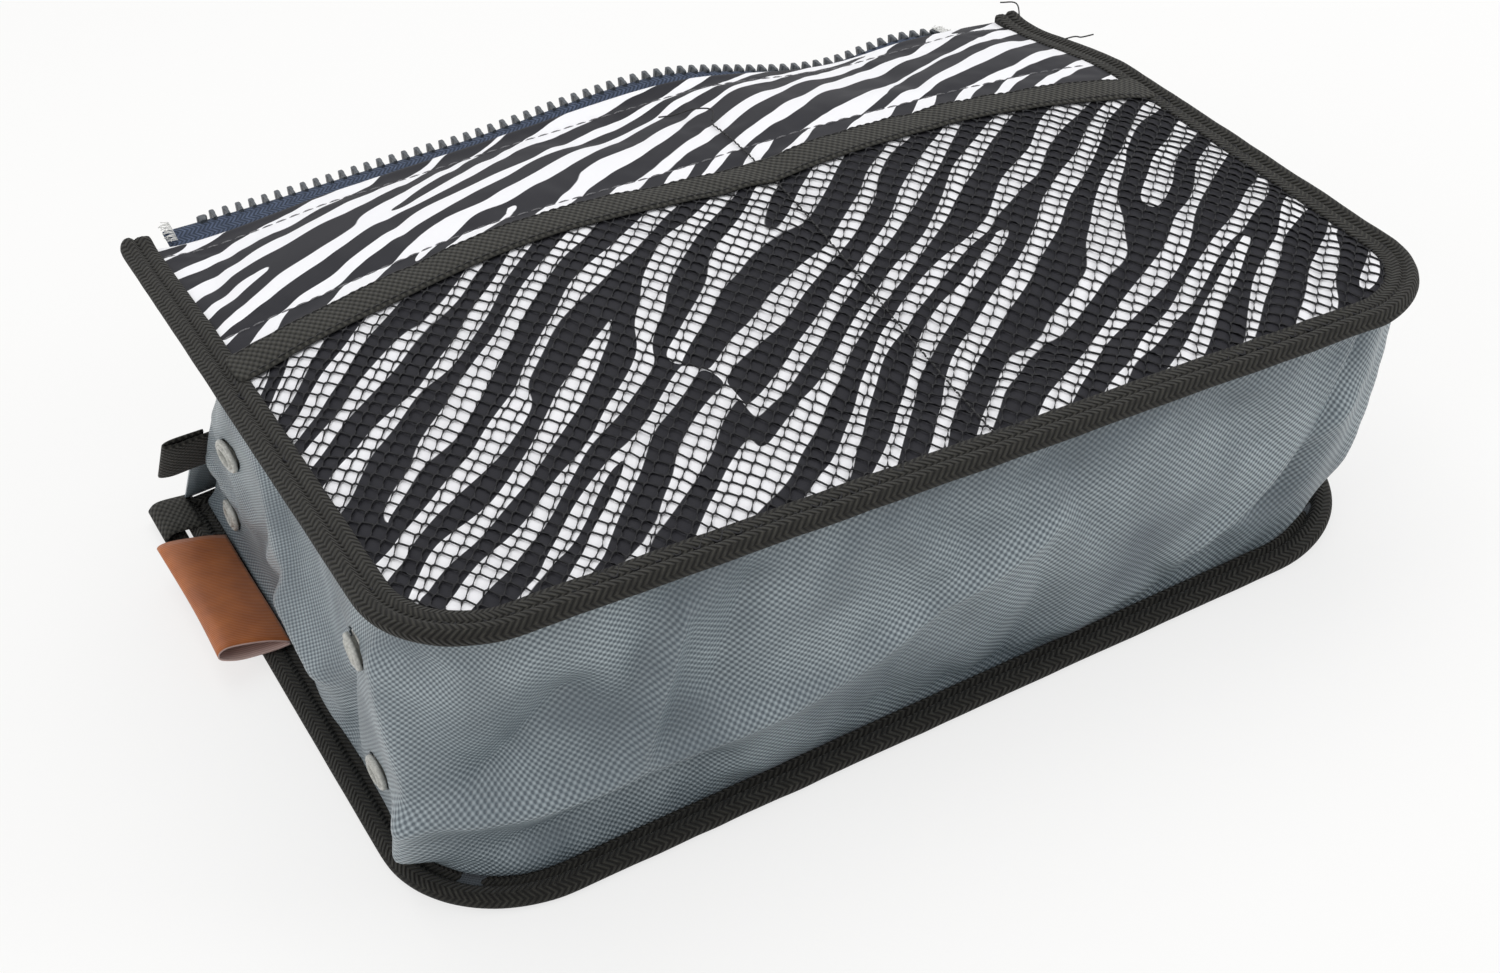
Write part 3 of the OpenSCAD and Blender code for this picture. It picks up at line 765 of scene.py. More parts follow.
def make_net():
    """Pocket net as real knitted cells, sewn in under the binding and under the band."""
    reach = int(HALF_W / 3) + 1
    number, points, faces = {}, [], []

    def knot(i, j, side):
        """Number of one end of the short bond at a knot."""
        if (i, j, side) not in number:
            number[i, j, side] = len(points)
            points.append(np.array([i, j]) @ NET_STEPS + [side * NET_BOND / 2, 0])
        return number[i, j, side]
    for i in range(-reach, reach + 1):
        for j in range(-reach, reach + 1):
            x, y = np.array([i + 0.5, j + 0.5]) @ NET_STEPS
            corner = (HALF_W - FRONT_R - abs(x), NEAR_Y + FRONT_R - y)
            outside = abs(x) > HALF_W - 8 or y < NEAR_Y + 8 or y > band_line(x) - 1
            if outside or (corner[0] < 0 < corner[1] and math.hypot(*corner) > FRONT_R - 8):
                continue
            faces.append([knot(i, j, 1), knot(i + 1, j, -1), knot(i + 1, j, 1), knot(i + 1, j + 1, -1),
                          knot(i, j + 1, 1), knot(i, j + 1, -1)])
    work = bmesh.new()
    flat = np.array(points)
    drawn = np.column_stack([flat, np.zeros(len(flat))])
    flat = flat + np.stack([wobble(drawn, 12, 0.9, 3), wobble(drawn, 12, 0.9, 4)], 1)
    corners = [work.verts.new((p[0], p[1], 0)) for p in flat]
    for face in faces:
        work.faces.new([corners[i] for i in face])
    long_edges = [e for e in work.edges if e.calc_length() > 2 * NET_BOND]
    bmesh.ops.subdivide_edges(work, edges=long_edges, cuts=1)
    spots_2d = np.array([v.co for v in work.verts])
    loose = 0.55 + 0.35 * wobble(spots_2d, 22, 1.0, 5)
    for vert, place in zip(work.verts, on_cover(spots_2d[:, 0], spots_2d[:, 1]) + loose[:, None] * Z_AXIS):
        vert.co = place * MM
    mesh = bpy.data.meshes.new("pocket_net")
    work.to_mesh(mesh)
    work.free()
    mesh.polygons.foreach_set("use_smooth", [True] * len(mesh.polygons))
    mesh.materials.append(NET)
    net = bpy.data.objects.new("pocket_net", mesh)
    bpy.context.scene.collection.objects.link(net)
    yarn = net.modifiers.new("yarn", "WIREFRAME")
    yarn.thickness = YARN * MM
    yarn.use_even_offset = False
    yarn.use_boundary = True
    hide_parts("pocket_mesh")
    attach(net, "root")


make_net()


def make_band():
    """Webbing band along the pocket's mouth, lying over the net's far edge."""
    across = np.array([-8, -7.6, -5, 0, 5, 7.6, 8, 7.6, 0, -7.6])
    height = np.array([0.5, 1.15, 1.35, 1.5, 1.35, 1.15, 0.5, 0.1, 0.1, 0.1])
    xs = np.linspace(-HALF_W + BIND_W - 4, HALF_W - BIND_W + 4, 120)
    x = np.repeat(xs[:, None], len(across), 1)
    y = band_line(x) + across[None, :] * BAND_W / 16
    points = on_cover(x, y)
    rough = wobble(np.stack([x, y, 0 * x], -1).reshape(-1, 3), 12, 0.3, 6)
    lift = height[None, :] + 0.45 + rough.reshape(x.shape)
    points = points + lift[..., None] * Z_AXIS
    uv = np.stack([x, y - band_line(x)], -1).reshape(-1, 2)
    faces = swept_faces(len(xs), len(across))
    band = turned_out(mesh_piece("pocket_band_webbing", points.reshape(-1, 3), faces, uv, WEBBING))
    softened(band)
    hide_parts("pocket_band")
    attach(band, "root")


make_band()

# ---------------------------------------------------------------- side walls

HEAD_IN = 7.0
FOOT_IN = 10.0
BACK_TOP = BACK_HIGH[2]
WALL_ROWS = 34
# Room for the label to flip: how deep the wall is dented, how high and how far round from the left mouth.
LABEL_DENT, LABEL_HIGH, LABEL_END = 2.5, 24.0, 116.0


def wall_path(half_w, near_y, radius, inset, left_y, right_y):
    """The seam line of a wall, with the same number of points on each stretch of both panels."""
    counts = (48, 16, 96, 16, 44)
    r = radius - inset
    hw, ny = half_w - inset, near_y + inset
    turn = [np.arange(n) / n for n in counts]
    left = np.stack([np.full(counts[0], -hw), left_y + (ny + r - left_y) * turn[0]], 1)
    a = math.pi * (1 + turn[1] / 2)
    corner_1 = np.stack([-hw + r + r * np.cos(a), ny + r + r * np.sin(a)], 1)
    near = np.stack([-hw + r + (2 * hw - 2 * r) * turn[2], np.full(counts[2], ny)], 1)
    a = math.pi * (1.5 + turn[3] / 2)
    corner_2 = np.stack([hw - r + r * np.cos(a), ny + r + r * np.sin(a)], 1)
    up = np.linspace(0, 1, counts[4] + 1)
    right = np.stack([np.full(counts[4] + 1, hw), ny + r + (right_y - ny - r) * up], 1)
    return np.vstack([left, corner_1, near, corner_2, right])


def wall_ends():
    """Where the side walls stop at the mouth, along Y: under the front panel and on the back panel."""
    left, right = in_panel(points_of("gusset_left")), in_panel(points_of("gusset_right"))
    at_head = [p[p[:, 2] > UNDER - 1][:, 1].max() for p in (left, right)]
    return at_head, points_of("gusset_left")[:, 1].max()


def crease(along, up, start, end, width, height):
    """A straight ridge, or a dent if height is negative, that fades at both ends."""
    d = np.array(end) - np.array(start)
    rel = np.stack([along - start[0], up - start[1]], -1)
    t = (rel @ d) / (d @ d)
    off = np.linalg.norm(rel - np.clip(t, 0, 1)[..., None] * d, axis=-1)
    return height * np.exp(-(off / width) ** 1.35) * ease((t + 0.15) / 0.3) * ease((1.15 - t) / 0.3)


def make_gusset():
    """One strip of coated nylon from the left mouth round the near edge to the right mouth."""
    (left_head, right_head), foot_y = wall_ends()
    head = wall_path(HALF_W, NEAR_Y, FRONT_R, HEAD_IN, left_head, right_head)
    foot = wall_path(BACK_HIGH[0], BACK_LOW[1], BACK_R, FOOT_IN, foot_y, foot_y)
    upper = panel(head[:, 0], head[:, 1], UNDER + 0.4 + settle(head[:, 0], head[:, 1]))
    lower = np.column_stack([foot, np.full(len(foot), BACK_TOP - 0.4)])
    up = np.linspace(0, 1, WALL_ROWS)
    points = lower[None] + (upper - lower)[None] * up[:, None, None]
    walked = np.concatenate([[0], np.cumsum(np.linalg.norm(np.diff(foot, axis=0), axis=1))])
    along = np.repeat(walked[None], WALL_ROWS, 0)
    high = up[:, None] * np.linalg.norm(upper - lower, axis=1)[None]
    tangent = np.gradient(points, axis=1)
    rise = np.repeat((upper - lower)[None], WALL_ROWS, 0)
    out = np.cross(tangent, rise)
    out /= np.linalg.norm(out, axis=-1)[..., None]
    total = walked[-1]
    belly = np.sin(math.pi * up)[:, None] * (2.6 + 1.6 * np.sin(along / total * 15))
    shape = belly
    for start, end, width, height in wall_creases(total):
        shape = shape + crease(along, high, start, end, width, height)
    label_room = 1 - (1 - ease((high - LABEL_HIGH) / 30)) * ease((LABEL_END - along) / 16)
    shape = shape * label_room - LABEL_DENT * (1 - label_room)
    fade = ease(up / 0.1) * ease((1 - up) / 0.1)
    points = points + (shape * fade[:, None])[..., None] * out
    count = WALL_ROWS * len(foot)
    uv = np.stack([along, high], -1).reshape(-1, 2)
    gusset = mesh_piece("gusset_cloth", points.reshape(-1, 3), grid_faces(WALL_ROWS, len(foot)), uv, NYLON)
    columns = len(foot)
    sewn = list(range(columns)) + list(range(count - columns, count))
    sewn += [r * columns + c for r in range(WALL_ROWS) for c in (0, columns - 1)]
    sewn += list(np.flatnonzero(label_room.ravel() < 0.5))
    settle_cloth(gusset, sewn, grow=0.02, pressure=0.2, frames=20, cap_mm=5.0, stiff=14, bending=0.8)
    return gusset


def wall_creases(total):
    """Folds that the walls have kept, in millimetres round the foot from the left mouth and up the wall:
    start, end, width and height. Three of them meet in a Y beside the near left corner."""
    corner = total / 2 - 174
    fork = (corner + 10, 34)
    return [((corner + 2, 0), fork, 7.2, 11.5),
            (fork, (corner - 2, 96), 8.0, 5.0),
            (fork, (corner + 135, 40), 5.6, 6.8),
            ((corner + 26, 44), (corner + 64, 76), 10.4, -7.4),
            ((corner + 30, 14), (corner + 100, 22), 7.2, -6.1),
            ((corner + 74, 42), (corner + 92, 90), 3.6, 6.8),
            ((corner + 98, 52), (corner + 112, 92), 6.4, -4.7),
            ((corner + 140, 40), (corner + 205, 66), 5.6, 4.1),
            ((corner - 48, 14), (corner - 34, 84), 6.4, -5.4),
            ((corner - 100, 60), (corner - 56, 40), 10.4, 6.8),
            ((corner - 150, 30), (corner - 120, 80), 7.2, -5.4),
            ((total - 292, 20), (total - 236, 58), 6.4, 4.7),
            ((total - 232, 88), (total - 262, 24), 7.2, -8.1),
            ((total - 226, 20), (total - 204, 80), 5.6, 6.1),
            ((total - 150, 14), (total - 100, 70), 8.0, 5.4),
            ((total - 70, 24), (total - 50, 84), 7.2, -5.4)]


gusset = make_gusset()


def solids_of(node):
    """The points of each separate solid of a node: those joined by edges, or lying at the same place."""
    points = points_of(node)
    _, place = np.unique(points.round(3), axis=0, return_inverse=True)
    place = place.ravel()
    ends = place[np.array([edge.vertices[:] for edge in frame["nodes"][node].data.edges])]
    label = np.arange(place.max() + 1)
    for _ in range(len(label)):
        before = label.copy()
        lowest = label[ends].min(1)
        np.minimum.at(label, ends[:, 0], lowest)
        np.minimum.at(label, ends[:, 1], lowest)
        if (label == before).all():
            break
    label = label[place]
    return [points[label == k] for k in np.unique(label)]


def lathe(profile, sides=28):
    """Points and faces of a closed ring turned about Z from its half section."""
    angle = np.arange(sides) * 2 * math.pi / sides
    profile = np.array(profile)
    radius, level = profile[None, :, 0], profile[None, :, 1]
    points = np.stack([radius * np.cos(angle)[:, None], radius * np.sin(angle)[:, None],
                       np.repeat(level, sides, 0)], -1)
    count = len(profile)
    faces = []
    for a in range(sides):
        for k in range(count):
            b, n = (a + 1) % sides, (k + 1) % count
            faces.append((a * count + k, a * count + n, b * count + n, b * count + k))
    return points.reshape(-1, 3), faces


# The cloth's hole under an eyelet, and how far round it the cloth is pressed flat.
EYELET_HOLE, EYELET_FLAT = 3.9, 9.0


def make_eyelets():
    """Vent eyelets: a rounded flange with a raised inner ring outside, a plain washer inside, and a real hole
    in the cloth between them."""
    surface = surface_of(gusset)
    flange = [(3.1, 0.6), (3.2, 1.8), (3.55, 2.3), (3.95, 2.1), (4.2, 1.4), (4.45, 1.1), (4.75, 1.6),
              (5.2, 1.75), (5.65, 1.4), (5.8, 0.7), (5.7, 0.1), (4.1, 0.0), (3.95, -2.4), (3.1, -2.6)]
    washer = [(3.95, -1.1), (5.8, -1.1), (5.9, -1.6), (5.6, -2.1), (3.95, -2.2)]
    gusset_points = coords(gusset) / MM
    dropped = set()
    for side, ring_node, washer_node in (("left", "eyelets_left", "eyelet_washers_left"),
                                         ("right", "eyelets_right", "eyelet_washers_right")):
        sign = -1 if side == "left" else 1
        rings, washers = [], []
        for solid in solids_of(ring_node):
            middle_point = (solid.min(0) + solid.max(0)) / 2
            start = Vector((middle_point + np.array([sign * 60, 0, 0])) * MM)
            hit, normal, _, _ = surface.ray_cast(start, Vector((-sign, 0, 0)))
            axis = Vector(normal) if normal.x * sign > 0 else -Vector(normal)
            turn = np.array(axis.to_track_quat("Z", "Y").to_matrix())
            place = np.array(hit) / MM
            for profile, store in ((flange, rings), (washer, washers)):
                points, faces = lathe(profile)
                store.append((points @ turn.T + place, faces))
            away = gusset_points - place
            level = away @ np.array(axis)
            flat = away - level[:, None] * np.array(axis)
            reach = np.linalg.norm(flat, axis=1)
            near = (abs(level) < 6) & (reach < EYELET_FLAT)
            inside = near & (reach < EYELET_HOLE)
            dropped |= set(np.flatnonzero(inside))
            level_it = near & ~inside
            weight = np.clip((EYELET_FLAT - reach) / 4, 0, 1)
            gusset_points[level_it] -= (level * weight)[level_it, None] * np.array(axis)
        for name, parts, node in (("vent_eyelets_" + side, rings, ring_node),
                                  ("vent_washers_" + side, washers, washer_node)):
            piece = turned_out(mesh_piece(name, *joined(parts), material=EYELET))
            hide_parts(node)
            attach(piece, "root")
    gusset.data.vertices.foreach_set("co", (gusset_points * MM).ravel())
    work = bmesh.new()
    work.from_mesh(gusset.data)
    work.verts.ensure_lookup_table()
    bmesh.ops.delete(work, geom=[work.verts[i] for i in dropped], context="VERTS")
    work.to_mesh(gusset.data)
    work.free()


make_eyelets()


def finish_gusset():
    """Gives the walls their thickness, with lining on the inner side."""
    gusset.data.materials.append(LINING)
    thickened(gusset, 1.2, -1, 1)
    softened(gusset)
    (left_head, right_head), foot_y = wall_ends()
    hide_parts("gusset_left", "gusset_near", "gusset_right")
    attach(gusset, "root")


finish_gusset()

# ---------------------------------------------------------------- back panel


def make_back():
    """Back panel: outer nylon, stiffener board and lining as one thin padded plate."""
    columns, rows = 61, 45
    low, high = BACK_LOW + 1.5, BACK_HIGH - 1.5
    ys = np.linspace(low[1], high[1], rows)
    radius = BACK_R - 1.5
    drop = np.clip(low[1] + radius - ys, 0, radius)
    half = high[0] - radius + np.sqrt(radius**2 - drop**2)
    x = np.linspace(-1, 1, columns)[None] * half[:, None]
    y = np.repeat(ys[:, None], columns, 1)
    flat = np.stack([x, y], -1).reshape(-1, 2)
    rough = wobble(np.column_stack([flat, 0 * flat[:, 0]]), 40, 0.7, 8)
    edge = np.minimum(high[0] - abs(flat[:, 0]), np.minimum(flat[:, 1] - low[1], high[1] - flat[:, 1]))
    puff = 0.7 * ease((edge - BIND_W) / 25)
    tucked = 1.8 * (1 - ease((edge - BIND_W + 1) / 5))
    top = np.column_stack([flat, BACK_TOP - TAPE_T - tucked + puff + rough * ease((edge - BIND_W) / 20)])
    base = np.column_stack([flat, np.full(len(flat), TAPE_T) - 0.5 * ease((edge - BIND_W) / 10)])
    count = rows * columns
    points, faces = np.vstack([top, base]), slab_faces(rows, columns)
    back = mesh_piece("back_panel", points, faces, np.vstack([flat, flat]), LINING)
    back.data.materials.append(NYLON)
    for face in back.data.polygons:
        face.material_index = int(min(face.vertices) >= count)
    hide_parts("back_shell", "back_board", "back_lining")
    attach(back, "root")


make_back()


def make_back_binding():
    """Black tape round the back panel, on all four sides."""
    edge, inward, walked = outline(BACK_HIGH[0], BACK_LOW[1], BACK_R, BACK_HIGH[1], BACK_HIGH[1])
    profile = binding_profile(BACK_HIGH[2] + 0.2, BACK_LOW[2] + 0.1, BIND_W + 3.5, BACK_HIGH[2] - 0.7)

    def place(x, y, z):
        return np.stack([x, y, np.maximum(z, 0)], -1)
    piece = make_binding("back_binding_tape", edge, inward, walked, profile, place, 9)
    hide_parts("back_binding")
    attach(piece, "root")
    xs = np.linspace(-BACK_HIGH[0], BACK_HIGH[0], 110)
    far = np.stack([xs, np.full_like(xs, BACK_HIGH[1])], 1)
    inner = np.stack([np.zeros_like(xs), -np.ones_like(xs)], 1)
    piece = make_binding("mouth_binding_tape", far, inner, xs + BACK_HIGH[0], profile, place, 10)
    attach(piece, "root")


make_back_binding()

# ---------------------------------------------------------------- zip


def zip_tape_mesh(low, high, lift):
    """Points, faces and uv of one half of the zip tape, with a corded edge where the teeth grip."""
    xs = np.linspace(low[0], high[0], 110)
    across = np.array([0.0, 0.25, 0.5, 0.75, 0.9, 1.0])
    thick = np.array([0.7, 0.7, 0.7, 0.7, 1.2, 0.9])
    ring_y = np.concatenate([across, across[::-1]])
    ring_z = np.concatenate([thick / 2, -thick[::-1] / 2])
    x = np.repeat(xs[:, None], len(ring_y), 1)
    y = low[1] + (high[1] - low[1]) * np.repeat(ring_y[None], len(xs), 0)
    z = (low[2] + high[2]) / 2 + ring_z[None] + lift(x, y)
    return (x, y, z), swept_faces(len(xs), len(ring_y)), np.stack([x, y], -1).reshape(-1, 2)


def tooth_mesh(low, high, facing):
    """One moulded tooth: a narrow neck that grips the tape, and a wider head with a bevelled face.
    facing is 1 where its head looks towards +y."""
    half_x = (high[0] - low[0]) / 2
    half_z = 0.6 * (high[2] - low[2])
    length = high[1] - low[1]
    plan = [(-0.65, 0), (-0.75, 0.45), (-1, 0.6), (-1, 0.88), (-0.65, 1), (0.65, 1), (1, 0.88), (1, 0.6),
            (0.75, 0.45), (0.65, 0)]
    layers = [(-1.0, 0.78), (-0.8, 1.0), (0.8, 1.0), (1.0, 0.78)]
    points = [(x * s * half_x, (t - 0.5) * s * length * facing, level * half_z)
              for level, s in layers for x, t in plan]
    return np.array(points), swept_faces(len(layers), len(plan))


def make_zip_half(prefix, body, to_panel, to_world, lift, facing):
    """Tape, teeth and stops of one half of the zip, all following the same wave."""
    low, high = extent(to_panel(points_of(prefix + "_zip_tape")))
    (x, y, z), faces, uv = zip_tape_mesh(low, high, lift)
    points = to_world(x, y, z).reshape(-1, 3)
    tape_piece = turned_out(mesh_piece(prefix + "_tape", points, faces, uv, ZIP_TAPE))
    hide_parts(prefix + "_zip_tape")
    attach(tape_piece, body)
    for kind in ("teeth", "stops"):
        node = prefix + "_zip_" + kind
        parts = []
        for solid in solids_of(node):
            low, high = extent(to_panel(solid))
            mid = (low + high) / 2
            points, tooth_faces = tooth_mesh(low, high, facing)
            slope = (lift(mid[0] + 2, mid[1]) - lift(mid[0] - 2, mid[1])) / 4
            tilt = math.atan(slope)
            turned = points @ np.array(Matrix.Rotation(-tilt, 3, "Y")).T
            place = turned + mid + [0, 0, float(lift(mid[0], mid[1]))]
            parts.append((to_world(*place.T), tooth_faces))
        piece = turned_out(mesh_piece(prefix + "_" + kind, *joined(parts), material=TEETH, flat=True))
        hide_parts(node)
        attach(piece, body)


make_zip_half("flap", "flap", in_panel, panel, settle, 1)
make_zip_half("rear", "root", opened, lambda x, y, z: shut(panel(x, y, z)), rear_wave, -1)


def make_rear_strip():
    """Nylon strip that stands in the plane of the mouth and carries the other half of the zip."""
    node = opened(points_of("rear_strip"))
    low, high = extent(node)
    top_y, foot_y = low[1], high[1]
    level = middle(node[node[:, 1] < top_y + 3][:, 2])
    xs = np.linspace(low[0], high[0], 90)
    x = np.repeat(xs[:, None], 12, 1)
    y = top_y + (foot_y - top_y) * np.repeat(np.linspace(0, 1, 12)[None], len(xs), 0)
    z = level + rear_wave(x, y)
    points = shut(panel(x, y, z)).reshape(-1, 3)
    points[:, 2] = np.maximum(points[:, 2], BACK_TOP + 0.4)
    uv = np.stack([x, y], -1).reshape(-1, 2)
    strip = mesh_piece("rear_strip_cloth", points, grid_faces(len(xs), 12), uv, NYLON)
    thickened(strip, 0.8, 0, 0)
    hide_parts("rear_strip")
    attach(strip, "root")


make_rear_strip()

# ---------------------------------------------------------------- label and tabs


def strap(name, path, across, width, thick, material, steps=8):
    """A flat strap along a smooth path; across is its sideways direction."""
    path = curve_through(path, steps)
    along = np.gradient(path, axis=0)
    along /= np.linalg.norm(along, axis=1)[:, None]
    side = np.array(across, float)
    side /= np.linalg.norm(side)
    up = np.cross(along, side)
    up /= np.linalg.norm(up, axis=1)[:, None]
    ring = [(-0.5, 0), (-0.48, 0.5), (-0.25, 0.5), (0, 0.5), (0.25, 0.5), (0.48, 0.5), (0.5, 0), (0.48, -0.5),
            (0.25, -0.5), (0, -0.5), (-0.25, -0.5), (-0.48, -0.5)]
    ring = np.array(ring) * [width, thick]
    points = path[:, None] + ring[None, :, :1] * side + ring[None, :, 1:] * up[:, None]
    walked = np.concatenate([[0], np.cumsum(np.linalg.norm(np.diff(path, axis=0), axis=1))])
    uv = np.stack(np.broadcast_arrays(walked[:, None], ring[None, :, 0]), -1).reshape(-1, 2)
    faces = swept_faces(len(path), len(ring))
    return turned_out(mesh_piece(name, points.reshape(-1, 3), faces, uv, material))


def make_label():
    """Bare side label: one ribbon folded into a loop, sewn in at the wall's seam and open at both ends."""
    low, high = (np.array(c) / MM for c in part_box("side_label"))
    seam = np.array([high[0], 0, joints["label_flip"]["pos_m"][2] / MM + 1.2])
    loop = [(0, 0.7), (-6, 3.6), (-13, 5.9), (-19, 7.3), (-22.2, 7.1), (-23.4, 5.7), (-22.0, 4.2), (-17, 2.2),
            (-10, 0.9), (-4, 0.1), (0, -0.1)]
    path = curve_through([(p[0], 0, p[1]) for p in loop], 6)
    turn = np.gradient(path, axis=0)
    turn /= np.linalg.norm(turn, axis=1)[:, None]
    inward = np.stack([-turn[:, 2], 0 * turn[:, 0], turn[:, 0]], 1)
    rows = 26
    share = np.linspace(0, 1, rows)
    points = []
    for t in share:
        openness = 0.72 + 0.55 * (1 - t) ** 2
        ring = path.copy()
        mid = 0.22 * -ring[:, 0]
        ring[:, 2] = mid + (ring[:, 2] - mid) * openness
        ring[:, 0] = ring[:, 0] * (1 - 0.03 * math.sin(math.pi * t))
        ring[:, 2] += 0.4 * math.sin(7 * t)
        points.append(ring + seam + [0, low[1] + (high[1] - low[1]) * t, 0])
    points = np.array(points)
    walked = np.concatenate([[0], np.cumsum(np.linalg.norm(np.diff(path, axis=0), axis=1))])
    uv = np.stack(np.broadcast_arrays(walked[None], (share * (high[1] - low[1]))[:, None]), -1).reshape(-1, 2)
    faces = grid_faces(rows, len(path))
    label = mesh_piece("side_label_ribbon", points.reshape(-1, 3), faces, uv, LABEL_BACK)
    label.data.materials.append(LABEL)
    thickened(label, 0.6, 0, 1)
    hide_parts("side_label")
    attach(label, "label")


make_label()


def make_tabs():
    """Two folded ends of black webbing at the far left corner."""
    low, high = extent(opened(points_of("zip_end_tab")))
    mid_y, width = (low[1] + high[1]) / 2, high[1] - low[1]
    z0, z1 = low[2] + 0.55, high[2] - 0.55
    bend = low[0] + 1.2
    loop = [(high[0], mid_y, z0), (bend + 12, mid_y, z0 + 0.1), (bend + 4, mid_y, z0),
            (bend, mid_y, z0 + 1.0), (bend + 3, mid_y, z0 + 1.9), (bend + 14, mid_y, z0 + 1.7)]
    path = [shut(panel(*p)) for p in loop]
    across = shut(panel(0, 1, 0)) - shut(panel(0, 0, 0))
    tab = strap("zip_end_webbing", path, across, width - 1, 1.1, WEBBING)
    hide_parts("zip_end_tab")
    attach(tab, "root")
    low, high = (np.array(c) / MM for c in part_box("corner_tab"))
    mid_y = (low[1] + high[1]) / 2
    z0, z1 = low[2] + 0.6, high[2] - 0.5
    loop = [(high[0], mid_y, z1), (low[0] + 4, mid_y, z1 + 1.2), (low[0] + 0.6, mid_y, z1 - 0.4),
            (low[0] + 0.4, mid_y, (z0 + z1) / 2), (low[0] + 2, mid_y, z0), (-BACK_HIGH[0] - 1, mid_y, z0)]
    tab = strap("corner_webbing", loop, (0, 1, 0), high[1] - low[1] - 0.6, 1.1, WEBBING)
    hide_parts("corner_tab")
    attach(tab, "root")


make_tabs()

# ---------------------------------------------------------------- stitches and loose threads


def stitch_row(name, knots, pitch, place, thickness=0.6, sink=0.05):
    """A row of sewn stitches along a path on the cloth. place turns flat x and y into the world."""
    path = np.array(knots, float)
    walked = np.concatenate([[0], np.cumsum(np.linalg.norm(np.diff(path, axis=0), axis=1))])
    parts = []
    for start in np.arange(0, walked[-1] - pitch, pitch):
        at = start + pitch * np.array([0.1, 0.3, 0.6, 0.86])
        flat = np.stack([np.interp(at, walked, path[:, i]) for i in (0, 1)], 1)
        points = place(flat[:, 0], flat[:, 1]) + np.array([-sink * 4, 0.1, 0.1, -sink * 4])[:, None] * Z_AXIS
        parts.append(tube_mesh(points, thickness / 2, 5))
    return mesh_piece(name, *joined(parts), material=THREAD)


def make_stitches():
    xs = np.arange(-HALF_W + BIND_W, HALF_W - BIND_W, 4.0)
    hem = stitch_row("hem_stitches", np.stack([xs, pulled(xs, HEM_Y - SEAM_HEM_IN)], 1), 4.8, on_cover)
    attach(hem, "flap")
    mid = stitch_row("flap_stitches", np.stack([xs, through(xs, SEAM_MID)], 1), 4.8, on_cover)
    bend_at_fold(mid)
    ys = np.linspace(DIVIDER[0][1] + 1, DIVIDER[1][1], 40)

    def over_net(x, y):
        return on_cover(x, y, 0.9)
    divider = stitch_row("pocket_divider_stitches", np.stack([divider_x(ys), ys], 1), 3.0, over_net)
    divider.data.materials[0] = BLACK_THREAD
    bend_at_fold(divider)
    for offset, name in ((-6.3, "band_stitches_near"), (6.3, "band_stitches_far")):
        def over_band(x, y):
            return on_cover(x, y, 1.85)
        row = stitch_row(name, np.stack([xs, band_line(xs) + offset], 1), 3.2, over_band, 0.45)
        row.data.materials[0] = BLACK_THREAD
        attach(row, "root")


make_stitches()


def make_loose_threads():
    """Ends of sewing thread and frayed tape that hang out at the seams' ends."""
    tail = [(22, 80, 4), (24, 84, 6.5), (20, 90, 6), (14, 93, 4.5), (10, 97, 3.5)]
    right = [(HALF_W - 2, HEM_Y - 4, 2), (HALF_W + 1, HEM_Y + 3, 4), (HALF_W - 3, HEM_Y + 8, 3)]
    seam = [(HALF_W - 4, 92, 2), (HALF_W + 2, 90, 3), (HALF_W + 6, 91, 1.5), (HALF_W + 10, 89, 2)]
    for name, knots in (("divider_thread_tail", tail), ("corner_thread", right), ("binding_thread", seam)):
        path = curve_through([panel(x, y, z + settle(x, y)) for x, y, z in knots], 6)
        thread = turned_out(mesh_piece(name, *tube_mesh(path, 0.28, 5), material=BLACK_THREAD))
        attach(thread, "flap")
    for name, at, way in (("frayed_tape_left", -155.5, -1), ("frayed_tape_right", 142.0, 1)):
        parts = []
        for k in range(18):
            y = HEM_Y - 1 + 0.55 * k
            lean = 1.6 * math.sin(2.3 * k)
            x0, reach = at, 1.6 + 0.8 * math.sin(1.7 * k + 1)
            knots = [(x0 - 1.5 * way, y, 0), (x0 + way * reach * 0.5, y + lean * 0.3, 0.3),
                     (x0 + way * reach, y + lean, 0.5 * math.cos(k))]
            base = float(settle(x0, y))
            parts.append(tube_mesh(curve_through([panel(a, b, c + base) for a, b, c in knots], 3), 0.16, 4))
        fray = turned_out(mesh_piece(name, *joined(parts), material=FRAY))
        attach(fray, "flap")


make_loose_threads()

# ---------------------------------------------------------------- slider and pull keep their CAD shape

for node in ("zip_slider", "zip_pull"):
    hard = frame["nodes"][node]
    hard.data.materials.clear()
    hard.data.materials.append(ZINC)

# ---------------------------------------------------------------- floor and light

FLOOR_HALF = 3000.0
FLOOR_GLOW = 0.72
WORLD_LIGHT = 0.45
# Area lamps: name, place in millimetres, side in metres and power in watts.
LAMPS = [("overhead", (150, 350, 1300), 1.3, 9.5),
         ("right", (1100, -700, 700), 0.7, 6.0),
         ("left", (-1100, -300, 700), 0.8, 4.0)]


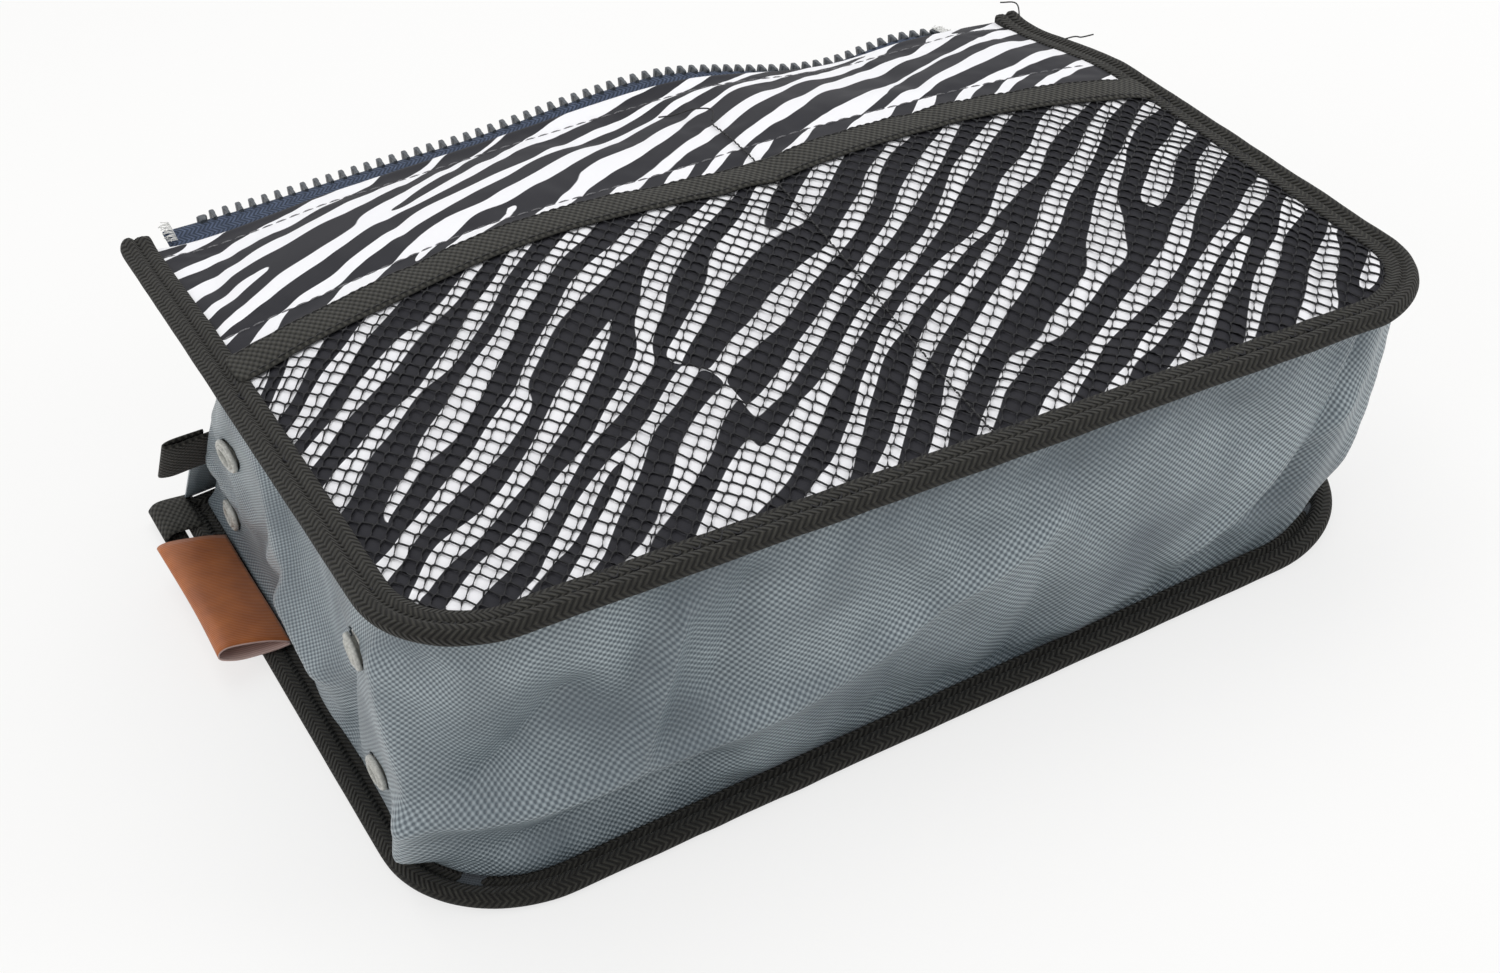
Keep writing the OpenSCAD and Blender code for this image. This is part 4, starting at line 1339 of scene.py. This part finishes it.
def rays_that_show(material):
    """1 for rays that show a surface to the camera: straight, mirrored or through something clear."""
    camera_ray = add(material, "LightPath", out="Is Camera Ray")
    rays = camera_ray.node.outputs
    mirrored = add(material, "Math", [rays["Is Glossy Ray"], rays["Is Transmission Ray"]], operation="ADD")
    return add(material, "Math", [camera_ray, mirrored], operation="ADD", use_clamp=True)


def make_floor():
    """A plain pale floor, partly self-lit where it is seen, so that it reads white and keeps soft shadows."""
    corners = [(-1, -1, 0), (1, -1, 0), (1, 1, 0), (-1, 1, 0)]
    floor = mesh_piece("floor", np.array(corners) * FLOOR_HALF, [(0, 1, 2, 3)])
    material = bpy.data.materials.new("pale_floor")
    material.use_nodes = True
    nodes = material.node_tree.nodes
    nodes.clear()
    plain = add(material, "BsdfDiffuse", {"Color": linear("#F4F3F0")})
    glow = add(material, "Emission", {"Color": (1, 1, 1, 1), "Strength": 1.0})
    share = add(material, "Math", [rays_that_show(material), FLOOR_GLOW], operation="MULTIPLY")
    surface = add(material, "MixShader", [share, plain, glow])
    material.node_tree.links.new(surface, nodes.new("ShaderNodeOutputMaterial").inputs[0])
    floor.data.materials.append(material)


def make_light():
    world = bpy.data.worlds.new("studio")
    bpy.context.scene.world = world
    world.use_nodes = True
    nodes = world.node_tree.nodes
    nodes.clear()
    soft = add(world, "Background", [(1, 1, 1, 1), WORLD_LIGHT])
    white = add(world, "Background", [(1, 1, 1, 1), 1.0])
    surface = add(world, "MixShader", [rays_that_show(world), soft, white])
    world.node_tree.links.new(surface, nodes.new("ShaderNodeOutputWorld").inputs[0])
    for name, place, size, power in LAMPS:
        lamp = bpy.data.lights.new(name, "AREA")
        lamp.size = size
        lamp.energy = power
        item = bpy.data.objects.new(name, lamp)
        bpy.context.scene.collection.objects.link(item)
        item.location = Vector(place) * MM
        item.rotation_mode = "QUATERNION"
        item.rotation_quaternion = (Vector((0, 0, 40)) * MM - item.location).to_track_quat("-Z", "Y")


make_floor()
make_light()
bpy.context.scene.view_settings.view_transform = "Standard"
